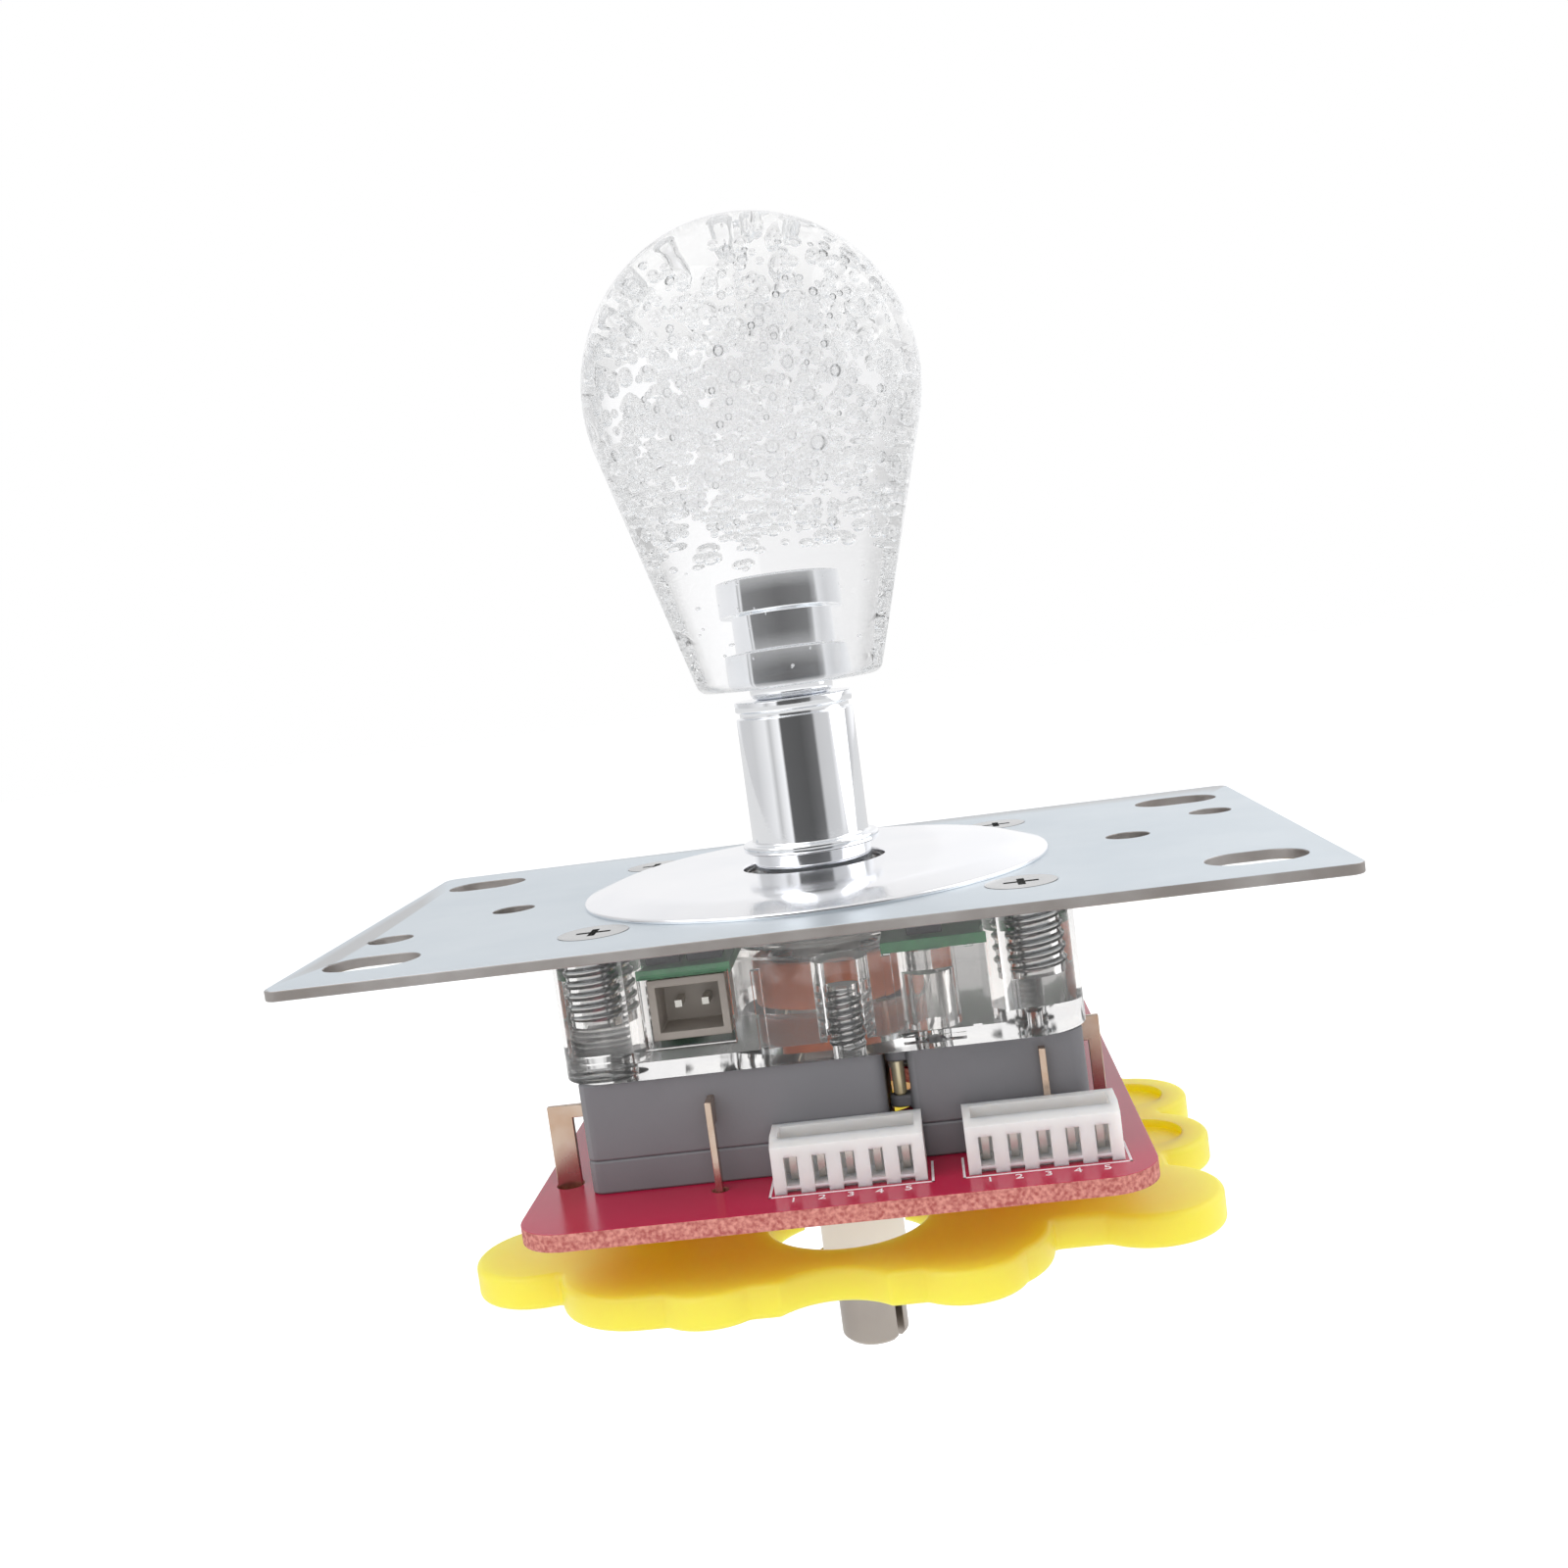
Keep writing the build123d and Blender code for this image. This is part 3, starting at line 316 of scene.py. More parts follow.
def newFinish(name):
    material = bpy.data.materials.new(name)
    material.use_nodes = True
    return material, material.node_tree, material.node_tree.nodes["Principled BSDF"]


def useGroup(tree, group, **values):
    return addNode(tree, "ShaderNodeGroup", values, node_tree=group)


def makeFinish(name, look):
    # colour drift, handled gloss and fine grain on a plain shader; what a look leaves out is as in plainLook
    look = {**plainLook, "other": look["color"], "edge": look["color"], **look}
    material, tree, shader = newFinish(name)
    tint = useGroup(tree, tintDrift, Color=look["color"], Other=look["other"], Edge=look["edge"],
                    Scale=look["driftScale"], Worn=look["worn"])
    gloss = useGroup(tree, handledGloss, Base=look["rough"], Spread=look["spread"], Scale=look["glossScale"])
    grain = useGroup(tree, fineGrain, Scale=look["grainScale"])
    bump = addNode(tree, "ShaderNodeBump", {"Strength": look["grain"], "Distance": look["grainDepth"] * mm})
    tree.links.new(tint.outputs["Color"], shader.inputs["Base Color"])
    tree.links.new(gloss.outputs["Roughness"], shader.inputs["Roughness"])
    tree.links.new(grain.outputs["Height"], bump.inputs["Height"])
    tree.links.new(bump.outputs["Normal"], shader.inputs["Normal"])
    for socket, value in look["sockets"].items():
        shader.inputs[socket].default_value = value
    return material


def makeClear(name, look):        # clear plastic: refraction with a faint drift of gloss
    material, tree, shader = newFinish(name)
    gloss = useGroup(tree, handledGloss, Base=look["rough"], Spread=look["spread"], Scale=look["glossScale"])
    tree.links.new(gloss.outputs["Roughness"], shader.inputs["Roughness"])
    shader.inputs["Base Color"].default_value = look["color"]
    shader.inputs["Transmission Weight"].default_value = 1.0
    shader.inputs["IOR"].default_value = look["ior"]
    return material


def litThrough(*depths):        # plastic that light enters, to a depth in metres for red, green and blue
    return {"Subsurface Weight": 1.0, "Subsurface Radius": depths, "Subsurface Scale": 1.0}


metal = {"Metallic": 1.0}
acrylic = makeClear("clearAcrylic", {
    "color": (0.98, 0.981, 0.982, 1), "ior": 1.49, "rough": 0.0, "spread": 0.02, "glossScale": 90.0})
polycarbonate = makeClear("clearPolycarbonate", {
    "color": (0.99, 0.98, 0.97, 1), "ior": 1.55, "rough": 0.04, "spread": 0.05, "glossScale": 300.0})
chrome = makeFinish("polishedChrome", {
    "color": shade(247, 248, 250), "other": shade(240, 242, 245), "rough": 0.05, "spread": 0.05,
    "grain": 0.02, "sockets": metal})
aluminium = makeFinish("turnedAluminium", {
    "color": shade(250, 250, 252), "other": shade(244, 245, 248), "rough": 0.13, "spread": 0.06,
    "grain": 0.03, "sockets": metal})
zincPlate = makeFinish("zincPlate", {
    "color": shade(211, 219, 225), "other": shade(204, 213, 220), "edge": shade(176, 171, 168), "worn": 0.6,
    "rough": 0.38, "spread": 0.12, "driftScale": 45.0, "grain": 0.12, "grainScale": 1800.0,
    "sockets": {"Metallic": 0.85}})
# painted shade: a darker copy of the zinc finish, put on the plate's side faces where shade and dark reflections
# fall
shadedZincSides = makeFinish("shadedZincSides", {
    "color": shade(170, 166, 164), "other": shade(144, 138, 134), "rough": 0.4, "spread": 0.12,
    "driftScale": 120.0, "grain": 0.2, "sockets": {"Metallic": 0.7}})
zincScrew = makeFinish("zincScrew", {
    "color": shade(196, 196, 195), "other": shade(178, 179, 179), "rough": 0.22, "spread": 0.12,
    "grain": 0.08, "sockets": metal})
shaftSteel = makeFinish("shaftSteel", {
    "color": shade(178, 170, 162), "other": shade(164, 156, 149), "rough": 0.34, "spread": 0.15,
    "sockets": metal})
springSteel = makeFinish("springSteel", {
    "color": shade(168, 168, 170), "rough": 0.25, "spread": 0.1, "sockets": metal})
redMask = makeFinish("redSolderMask", {
    "color": shade(194, 28, 70), "other": shade(183, 22, 63), "rough": 0.22, "driftScale": 70.0,
    "grain": 0.05, "sockets": {"Specular IOR Level": 0.4, "Coat Weight": 0.25, "Coat Roughness": 0.18}})
boardEdge = makeFinish("fibrousBoardEdge", {
    "color": shade(216, 146, 134), "other": shade(168, 84, 80), "rough": 0.8, "driftScale": 2600.0,
    "grain": 0.7, "grainScale": 1200.0})
greenMask = makeFinish("greenSolderMask", {
    "color": shade(40, 120, 72), "other": shade(30, 100, 60), "rough": 0.3, "driftScale": 300.0})
switchGrey = makeFinish("switchGrey", {
    "color": shade(118, 117, 121), "other": shade(111, 110, 114), "edge": shade(140, 140, 143), "worn": 0.5,
    "rough": 0.52, "spread": 0.1, "grain": 0.22, "grainScale": 3500.0})
milkyWhite = makeFinish("milkyWhite", {
    "color": shade(232, 230, 228), "other": shade(222, 220, 218), "rough": 0.32, "spread": 0.1,
    "grain": 0.08, "sockets": litThrough(0.0022, 0.002, 0.0018)})
gateYellow = makeFinish("gateYellow", {
    "color": shade(255, 222, 84), "other": shade(255, 214, 72), "rough": 0.38, "spread": 0.1,
    "driftScale": 50.0, "grainScale": 1500.0, "sockets": litThrough(0.010, 0.0075, 0.002)})
collarOrange = makeFinish("collarOrange", {
    "color": shade(255, 128, 66), "other": shade(250, 116, 54), "rough": 0.45, "spread": 0.1})
nylonWhite = makeFinish("nylonWhite", {
    "color": shade(246, 246, 244), "other": shade(240, 240, 237), "rough": 0.45, "spread": 0.1})
# painted shade: the ivory header is written darker, grey-brown, as it looks in the dim space behind the clear
# housing wall
shadedHeaderIvory = makeFinish("shadedHeaderIvory", {
    "color": shade(172, 164, 156), "other": shade(160, 152, 144), "rough": 0.4})
chipBlack = makeFinish("chipBlack", {
    "color": shade(34, 38, 52), "other": shade(28, 31, 44), "rough": 0.45, "grain": 0.25})
lampBody = makeFinish("lampBody", {
    "color": shade(244, 240, 222), "other": shade(248, 230, 150), "rough": 0.3, "driftScale": 500.0})
copperBlade = makeFinish("copperBlade", {
    "color": shade(212, 196, 182), "other": shade(196, 168, 146), "rough": 0.26, "spread": 0.15,
    "driftScale": 250.0, "sockets": metal})
brassStrip = makeFinish("brassStrip", {
    "color": shade(238, 231, 214), "other": shade(230, 212, 166), "rough": 0.24, "spread": 0.12,
    "driftScale": 250.0, "sockets": {"Metallic": 0.55}})
tinPin = makeFinish("tinnedPin", {
    "color": shade(222, 220, 214), "other": shade(206, 203, 196), "rough": 0.28, "spread": 0.12,
    "sockets": metal})
silkWhite = makeFinish("silkscreenWhite", {
    "color": shade(246, 240, 242), "other": shade(238, 226, 230), "rough": 0.6, "driftScale": 800.0})
print("finishes:", len(bpy.data.materials) - frameFinishes)


# Knob: a clear bulb with its air bubbles as voids, closing on the insert inside it

knob = {"foot": 18.6, "edge": 1.0, "edgeSteps": 8, "sink": 0.04, "cols": 160, "arcSteps": 90,
        "ringRadius": 4.25, "grooveRadius": 3.45, "grooveLow": 24.2, "grooveHigh": 28.0}
knobLow, knobHigh = extent("bubble_knob")
insertLow, insertHigh = extent("knob_insert")
footRadius = knob["foot"] / 2
ballRadius = (knobHigh[0] - knobLow[0]) / 2
ballCentre = knobHigh[2] - ballRadius
footGap = ballCentre - knobLow[2]
tangentAngle = math.atan2(footRadius, footGap) + math.acos(ballRadius / math.hypot(footRadius, footGap))


def bulbRadius(height):
    # radius of the bulb at a height: the ball above its tangent circle, a straight taper below it
    tangentHeight = ballCentre - ballRadius * math.cos(tangentAngle)
    tangentRadius = ballRadius * math.sin(tangentAngle)
    ball = np.sqrt(np.maximum(ballRadius ** 2 - (height - ballCentre) ** 2, 0))
    share = (height - knobLow[2]) / (tangentHeight - knobLow[2])
    return np.where(height > tangentHeight, ball, footRadius + share * (tangentRadius - footRadius))


def bulbProfile():
    # down the bore, a little inside the insert's skin, out along the foot, round its edge, and from the
    # tangent circle over the ball to its pole: r = R sin a, h = centre - R cos a
    sink = knob["sink"]
    ring, groove = knob["ringRadius"] - sink, knob["grooveRadius"] - sink
    boreTop, grooveHigh, grooveLow = insertHigh[2] - sink, knob["grooveHigh"] + sink, knob["grooveLow"] - sink
    bore = np.array([(0, boreTop), (ring, boreTop), (ring, grooveHigh), (groove, grooveHigh),
                     (groove, grooveLow), (ring, grooveLow), (ring, knobLow[2])])
    arc = np.linspace(tangentAngle, math.pi, knob["arcSteps"])
    ball = np.stack([ballRadius * np.sin(arc), ballCentre - ballRadius * np.cos(arc)], -1)
    foot = softCorners([(ring, knobLow[2], 0), (footRadius, knobLow[2], knob["edge"]), (*ball[0], 0)],
                       knob["edgeSteps"])
    return np.concatenate([bore, foot[1:-1], ball])


# The heights densest, top and bottom are from the ball's centre, and spread is how much the sizes vary
bubbles = {"seed": 11, "cols": 8, "rows": 6, "wall": 0.9, "gap": 0.04,
           "core": {"count": 2100, "size": 0.43, "spread": 0.28,
                    "overInsert": 1.0, "densest": -3.0, "top": 11.5, "reach": 0.8},
           "shell": {"count": 200, "size": 0.36, "spread": 0.3,
                     "bottom": -6.0, "top": 11.5, "depth": (1.2, 3.6)},
           "stem": {"count": 16, "size": 0.16, "spread": 0.3,
                    "overFoot": 2.0, "overInsert": 3.0, "clear": (0.6, 3.2)}}


def aroundAxis(reach, angle, height, size):        # bubbles as rows of x, y, z and radius
    return np.stack([reach * np.cos(angle), reach * np.sin(angle), height, size], -1)


def bubbleField():
    # core: cloud in the middle of the bulb; shell: some under the ball's skin; stem: few around the insert;
    # what would break the skin, or comes too near an earlier bubble, is left out
    draw = np.random.default_rng(bubbles["seed"])
    core, shell, stem = bubbles["core"], bubbles["shell"], bubbles["stem"]
    height = draw.triangular(insertHigh[2] + core["overInsert"], ballCentre + core["densest"],
                             ballCentre + core["top"], core["count"])
    angle = draw.uniform(0, fullTurn, core["count"])
    reach = np.sqrt(draw.uniform(0, 1, core["count"])) * bulbRadius(height) * core["reach"]
    size = core["size"] * draw.lognormal(0, core["spread"], core["count"])
    inCore = aroundAxis(reach, angle, height, size)
    height = draw.uniform(ballCentre + shell["bottom"], ballCentre + shell["top"], shell["count"])
    angle = draw.uniform(0, fullTurn, shell["count"])
    reach = bulbRadius(height) - draw.uniform(*shell["depth"], shell["count"])
    size = shell["size"] * draw.lognormal(0, shell["spread"], shell["count"])
    inShell = aroundAxis(reach, angle, height, size)
    height = draw.uniform(knobLow[2] + stem["overFoot"], insertHigh[2] + stem["overInsert"], stem["count"])
    angle = draw.uniform(0, fullTurn, stem["count"])
    reach = knob["ringRadius"] + draw.uniform(*stem["clear"], stem["count"])
    size = stem["size"] * draw.lognormal(0, stem["spread"], stem["count"])
    field = np.concatenate([inCore, inShell, aroundAxis(reach, angle, height, size)])
    within = np.hypot(field[:, 0], field[:, 1]) + field[:, 3] < bulbRadius(field[:, 2]) - bubbles["wall"]
    field = field[within & (field[:, 2] + field[:, 3] < knobHigh[2] - bubbles["wall"])]
    apart = np.linalg.norm(field[:, None, :3] - field[None, :, :3], axis=-1)
    gap = apart - field[:, None, 3] - field[None, :, 3]
    return field[~np.any(np.tril(gap < bubbles["gap"], -1), axis=1)]


def bubbleSurface(field):
    # a grid ball for each bubble: centre + size x (sin p cos a, sin p sin a, cos p)
    fall = np.linspace(0, math.pi, bubbles["rows"])[:, None]
    turn = np.linspace(0, fullTurn, bubbles["cols"], endpoint=False)
    unit = np.stack([np.sin(fall) * np.cos(turn), np.sin(fall) * np.sin(turn), np.cos(fall) + 0 * turn], -1)
    unit = unit.reshape(-1, 3)
    points = field[:, None, :3] + field[:, None, 3:] * unit
    quads = outward(unit, gridQuads(bubbles["rows"], bubbles["cols"]), void=True)
    shifts = np.arange(len(field))[:, None, None] * len(unit)
    return points.reshape(-1, 3), (quads + shifts).reshape(-1, 4)


bulbPoints, bulbQuads = lathePoints(bulbProfile(), knob["cols"])
bubbleList = bubbleField()
knobPoints, knobQuads = joined([(bulbPoints, outward(bulbPoints, bulbQuads)), bubbleSurface(bubbleList)])
addPiece("bubbleKnob", makeMesh("bubbleKnob", knobPoints, knobQuads), acrylic, "lever",
         ["bubble_knob"], sharp=75)
print("knob:", len(bubbleList), "bubbles,", 2 * len(knobQuads), "triangles at most")


# Chromed insert and sleeve, and the washer, turned with soft corners

insert = {"bore": 2.55, "boreTop": 28.3, "corner": 0.25, "grooveCorner": 0.15, "footCorner": 0.9}
ring, groove = knob["ringRadius"], knob["grooveRadius"]
turned("knobInsert", [
    (0, insertHigh[2], 0),
    (ring, insertHigh[2], insert["corner"]),
    (ring, knob["grooveHigh"], insert["corner"]),
    (groove, knob["grooveHigh"], insert["grooveCorner"]),
    (groove, knob["grooveLow"], insert["grooveCorner"]),
    (ring, knob["grooveLow"], insert["corner"]),
    (ring, insertLow[2], insert["footCorner"]),
    (insert["bore"], insertLow[2], 0),
    (insert["bore"], insert["boreTop"], 0),
    (0, insert["boreTop"], 0)], chrome, "knob_insert")

sleeve = {"radius": 6.0, "neck": 5.6, "rim": 1.1, "neckHeight": 0.6, "flangeLow": 3.0, "flange": 0.9,
          "bore": 3.55, "skirtBore": 5.05, "rimCorner": 0.2, "neckCorner": 0.1, "bodyCorner": 0.12,
          "flangeCorner": 0.3, "skirtCorner": 0.15, "footCorner": 0.25, "mouthCorner": 0.1}
sleeveLow, sleeveHigh = extent("shaft_sleeve")
rimLow = sleeveHigh[2] - sleeve["rim"]
neckLow = rimLow - sleeve["neckHeight"]
flangeTop = sleeve["flangeLow"] + sleeve["flange"]
turned("shaftSleeve", [
    (sleeve["bore"], sleeveHigh[2], 0),
    (sleeve["radius"], sleeveHigh[2], sleeve["rimCorner"]),
    (sleeve["radius"], rimLow, sleeve["rimCorner"]),
    (sleeve["neck"], rimLow, sleeve["neckCorner"]),
    (sleeve["neck"], neckLow, sleeve["neckCorner"]),
    (sleeve["radius"], neckLow, sleeve["bodyCorner"]),
    (sleeve["radius"], flangeTop, sleeve["flangeCorner"]),
    (sleeveHigh[0], flangeTop, sleeve["flangeCorner"]),
    (sleeveHigh[0], sleeve["flangeLow"], sleeve["flangeCorner"]),
    (sleeve["radius"], sleeve["flangeLow"], sleeve["skirtCorner"]),
    (sleeve["radius"], sleeveLow[2], sleeve["footCorner"]),
    (sleeve["skirtBore"], sleeveLow[2], sleeve["mouthCorner"]),
    (sleeve["skirtBore"], sleeve["flangeLow"], 0),
    (sleeve["bore"], sleeve["flangeLow"], 0),
    (sleeve["bore"], sleeveHigh[2], 0)], chrome, "shaft_sleeve", cols=160)

washer = {"bore": 7.3, "bevel": 3.4, "rim": 0.4, "footCorner": 0.1, "rimCorner": 0.3, "bevelCorner": 1.0,
          "boreCorner": 0.25}
washerLow, washerHigh = extent("dust_washer")
turned("dustWasher", [
    (washer["bore"], washerLow[2], 0),
    (washerHigh[0], washerLow[2], washer["footCorner"]),
    (washerHigh[0], washer["rim"], washer["rimCorner"]),
    (washerHigh[0] - washer["bevel"], washerHigh[2], washer["bevelCorner"]),
    (washer["bore"], washerHigh[2], washer["boreCorner"]),
    (washer["bore"], washerLow[2], 0)], aluminium, "dust_washer", cols=192)
print("turned pieces: insert, sleeve, washer")


# Return spring: it tilts with the ball and the collar under its foot, and its top keeps clear of the ceiling

spring = {"wire": 0.8, "turns": 3.5, "headroom": 1.3, "cols": 10, "perTurn": 40, "flat": 0.8}
springLow, springHigh = extent("return_spring")


def springSurface():
    # centre line: x = r cos a, y = r sin a, rising as share - flat x sin(2 pi share) / 2 pi, so that its ends
    # lie flatter; around it a tube: + w cos b outward and + w sin b upward, closed by rings of no width
    rows = int(spring["turns"] * spring["perTurn"])
    share = np.linspace(0, 1, rows)[:, None]
    turn = fullTurn * spring["turns"] * share
    around = np.linspace(0, fullTurn, spring["cols"], endpoint=False)
    wire = np.full((rows, 1), spring["wire"] / 2)
    wire[[0, -1]] = 0
    foot = springLow[2] + spring["wire"] / 2
    rise = springHigh[2] - springLow[2] - spring["wire"] - spring["headroom"]
    climb = share - spring["flat"] * np.sin(fullTurn * share) / fullTurn
    reach = springHigh[0] - spring["wire"] / 2 + wire * np.cos(around)
    height = foot + rise * climb + wire * np.sin(around)
    points = np.stack([reach * np.cos(turn), reach * np.sin(turn), height], -1).reshape(-1, 3)
    return points, outward(points, gridQuads(rows, spring["cols"]))


addPiece("returnSpring", makeMesh("returnSpring", *springSurface()), springSteel, bodyOf["pivot_ball"],
         ["return_spring"], sharp=80)
print("spring:", spring["turns"], "turns")


# Plate, housing, switches, boards and gate: the nodes' own shapes, most of them with eased edges

easing = {"restrictor_gate": (gateYellow, 0), "lamp_board": (greenMask, 0.05), "lamps": (lampBody, 0.15),
          # the lamp header's darker colour is painted shade
          "board_chips": (chipBlack, 0.1), "lamp_header": (shadedHeaderIvory, 0.08),
          "connector_left": (milkyWhite, 0), "connector_right": (milkyWhite, 0), "shaft": (shaftSteel, 0.12),
          "spring_collar": (collarOrange, 0.15), "actuator": (nylonWhite, 0.12)}        # finish, edge width
housing = {"gap": 0.04}
sheets = {"boardEdge": 0.06, "plateEdge": 0.12, "sideBelow": 0.5}        # the board and the plate
switch = {"caseEdge": 0.2, "terminalEdge": 0.06}


def isSide(normals):        # the faces round a sheet and in its holes, whose normals rise little
    return np.abs(normals[:, 2]) < sheets["sideBelow"]


copies = [eased(node, material, width) for node, (material, width) in easing.items()]
copies.append(eased("housing", polycarbonate, 0, gap=housing["gap"]))
copies.append(eased("main_board", redMask, sheets["boardEdge"], second=(boardEdge, isSide)))
# the plate's side faces get the darker zinc copy, which is painted shade
copies.append(eased("mounting_plate", zincPlate, sheets["plateEdge"], second=(shadedZincSides, isSide)))
for side in sideNames:
    copies.append(eased(f"switch_{side}_case", switchGrey, switch["caseEdge"]))
    copies.append(eased(f"switch_{side}_cover", switchGrey, switch["caseEdge"]))
    copies.append(eased(f"switch_{side}_terminals", copperBlade, switch["terminalEdge"]))
plainFinishes = {"plate_screws": zincScrew, "board_screws": zincScrew, "gate_screws": zincScrew,
                 "pivot_ball": nylonWhite, "pivot_ring": nylonWhite, "retaining_clip": springSteel,
                 "lamp_header_pins": tinPin, "connector_left_pins": tinPin, "connector_right_pins": tinPin}
for side in sideNames:
    plainFinishes[f"switch_{side}_lever"] = brassStrip
    plainFinishes[f"switch_{side}_plunger"] = nylonWhite
for node, material in plainFinishes.items():
    mesh = frame["nodes"][node].data
    mesh.materials.clear()
    mesh.materials.append(material)
print("nodes:", len(copies), "copied with their own finish,", len(plainFinishes), "kept and finished")


# Screw threads, which show where the screws run in the clear housing

thread = {"pitch": 1.1, "depth": 0.28, "flank": 2.5, "runOut": 0.6, "cols": 36, "perPitch": 12}
screws = {"headRadius": 3.3, "plateCore": 1.86, "slimCore": 1.42, "tipGap": 0.05, "plateGap": 0.25,
          "seatGap": 0.2, "outerHole": (2.5, -20.6), "innerHole": (-19.7, -10.3)}


def threadSurface(centre, low, high, core):
    # radius = core + depth x ridge; the roots lie where height / pitch - turn is whole, and the ridge is flank x
    # the distance from the nearer root, at most 1, and runs out towards both ends
    rows = int((high - low) / thread["pitch"] * thread["perPitch"])
    height = np.linspace(low, high, rows)[:, None]
    turn = np.linspace(0, 1, thread["cols"], endpoint=False)
    phase = (height / thread["pitch"] - turn) % 1.0
    ridge = np.clip(thread["flank"] * (0.5 - np.abs(phase - 0.5)), 0, 1)
    ends = np.clip(np.minimum(height - low, high - height) / (thread["runOut"] * thread["pitch"]), 0, 1)
    radius = core + thread["depth"] * ridge * ends
    radius[[0, -1]] = 0        # closed at both ends
    points = np.stack([centre[0] + radius * np.cos(fullTurn * turn),
                       centre[1] + radius * np.sin(fullTurn * turn), height + 0 * turn], -1)
    points = points.reshape(-1, 3)
    return points, outward(points - points.mean(0), gridQuads(rows, thread["cols"]))


def addThreads(name, centres, low, high, core):
    points, quads = joined([threadSurface(centre, low, high, core) for centre in centres])
    addPiece(name, makeMesh(name, points, quads), zincScrew, "base", sharp=80)
    print("threads:", name, "on", len(centres), "screws")


# Turns that carry a place at the front switch to each of the four
quarterTurns = [np.array([[math.cos(a), -math.sin(a)], [math.sin(a), math.cos(a)]])
                for a in np.arange(len(sideNames)) * math.pi / 2]
outerHole, innerHole = np.array(screws["outerHole"]), np.array(screws["innerHole"])
plateScrewLow, plateScrewHigh = extent("plate_screws")
bossHalf = plateScrewHigh[0] - screws["headRadius"]
threadLow = extent("housing")[0][2] + screws["seatGap"]
addThreads("plateScrewThreads", [(x, y) for x in (-bossHalf, bossHalf) for y in (-bossHalf, bossHalf)],
           plateScrewLow[2] + screws["tipGap"], extent("mounting_plate")[0][2] - screws["plateGap"],
           screws["plateCore"])
addThreads("boardScrewThreads", [quarter @ outerHole for quarter in quarterTurns],
           threadLow, extent("board_screws")[1][2], screws["slimCore"])
addThreads("gateScrewThreads", [innerHole, -innerHole],
           threadLow, extent("gate_screws")[1][2], screws["slimCore"])


# Board details: silkscreen around the connectors, and solder

silk = {"line": 0.22, "thick": 0.02, "margin": 0.55, "digit": 1.5, "drop": 1.35}
connectors = {"nodes": ("connector_left", "connector_right"), "pins": 5, "pitch": 2.5}
boardLow, boardHigh = extent("main_board")


def barSurface(low, high):        # a box between two corners, as a square profile carried from low to high
    low, high = np.array(low, float), np.array(high, float)
    corner = np.array([(0, 0), (1, 0), (1, 1), (0, 1)], float)
    middle, level = np.full_like(corner, 0.5), np.ones(len(corner))
    rings = [np.c_[middle, 0 * level], np.c_[corner, 0 * level], np.c_[corner, level], np.c_[middle, level]]
    points = low + np.concatenate(rings) * (high - low)
    return points, outward(points - points.mean(0), gridQuads(len(rings), len(corner)))


def silkFrame(node):        # the outline printed around a connector, open at the back
    low, high = extent(node)
    left, right = low[0] - silk["margin"], high[0] + silk["margin"]
    front, back = low[1] - silk["margin"], high[1]
    under, top = boardHigh[2], boardHigh[2] + silk["thick"]
    line = silk["line"]
    return [barSurface((left, front, under), (right, front + line, top)),
            barSurface((left, front, under), (left + line, back, top)),
            barSurface((right - line, front, under), (right, back, top))]


def pinPlaces(node):        # where the pins stand along a connector, from left to right
    low, high = extent(node)
    fromMiddle = np.arange(connectors["pins"]) - connectors["pins"] // 2
    return (low[0] + high[0]) / 2 + connectors["pitch"] * fromMiddle


def printDigit(name, digit, place):        # a plain number, made a mesh before it is put in place
    text = bpy.data.curves.new(name, "FONT")
    text.body = digit
    text.size = silk["digit"] * mm
    text.align_x = "CENTER"
    text.extrude = silk["thick"] / 2 * mm
    maker = bpy.data.objects.new(name + "Maker", text)
    bpy.context.scene.collection.objects.link(maker)
    mesh = bpy.data.meshes.new_from_object(maker)
    bpy.data.objects.remove(maker)
    mesh.name = name
    mesh.transform(Matrix.Translation(Vector(place) * mm))
    return mesh


silkPoints, silkQuads = joined([bar for node in connectors["nodes"] for bar in silkFrame(node)])
addPiece("silkscreenFrames", makeMesh("silkscreenFrames", silkPoints, silkQuads), silkWhite, "base")
shape = bmesh.new()
for node in connectors["nodes"]:
    front = extent(node)[0][1] - silk["margin"] - silk["drop"]
    for order, x in enumerate(pinPlaces(node), start=1):
        mesh = printDigit(f"digit{order}", str(order), (x, front, boardHigh[2] + silk["thick"] / 2))
        shape.from_mesh(mesh)
        bpy.data.meshes.remove(mesh)
digits = bpy.data.meshes.new("silkscreenNumbers")
shape.to_mesh(digits)
shape.free()
addPiece("silkscreenNumbers", digits, silkWhite, "base", sharp=30)

solder = {"foot": 0.95, "tip": 0.42, "height": 0.95, "cols": 16, "rows": 6}
tabs = {"inner": (-10.4, -25.3), "end": (-25.25, -19.5), "rightEnd": (-23.15, -19.5)}        # as at the front


def solderCone(centre):
    # hollow-flanked cone under the board: radius falls from foot to tip as (1 - share) squared
    share = np.linspace(0, 1, solder["rows"])
    radius = solder["tip"] + (solder["foot"] - solder["tip"]) * (1 - share) ** 2
    profile = np.stack([np.r_[0, radius, 0], boardLow[2] - solder["height"] * np.r_[0, share, 1]], -1)
    points, quads = lathePoints(profile, solder["cols"], centre)
    return points, outward(points - points.mean(0), quads)


solderPlaces = [(x, (extent(node)[0][1] + extent(node)[1][1]) / 2)
                for node in connectors["nodes"] for x in pinPlaces(node)]
for side, quarter in zip(sideNames, quarterTurns):
    end = tabs["rightEnd"] if side == "right" else tabs["end"]        # the right one stands nearer in
    solderPlaces += [quarter @ np.array(tabs["inner"]), quarter @ np.array(end)]
conePoints, coneQuads = joined([solderCone(place) for place in solderPlaces])
addPiece("solderJoints", makeMesh("solderJoints", conePoints, coneQuads), tinPin, "base", sharp=60)
print("board: silkscreen, numbers and", len(solderPlaces), "solder joints")


# Stage: floor, light, world and camera

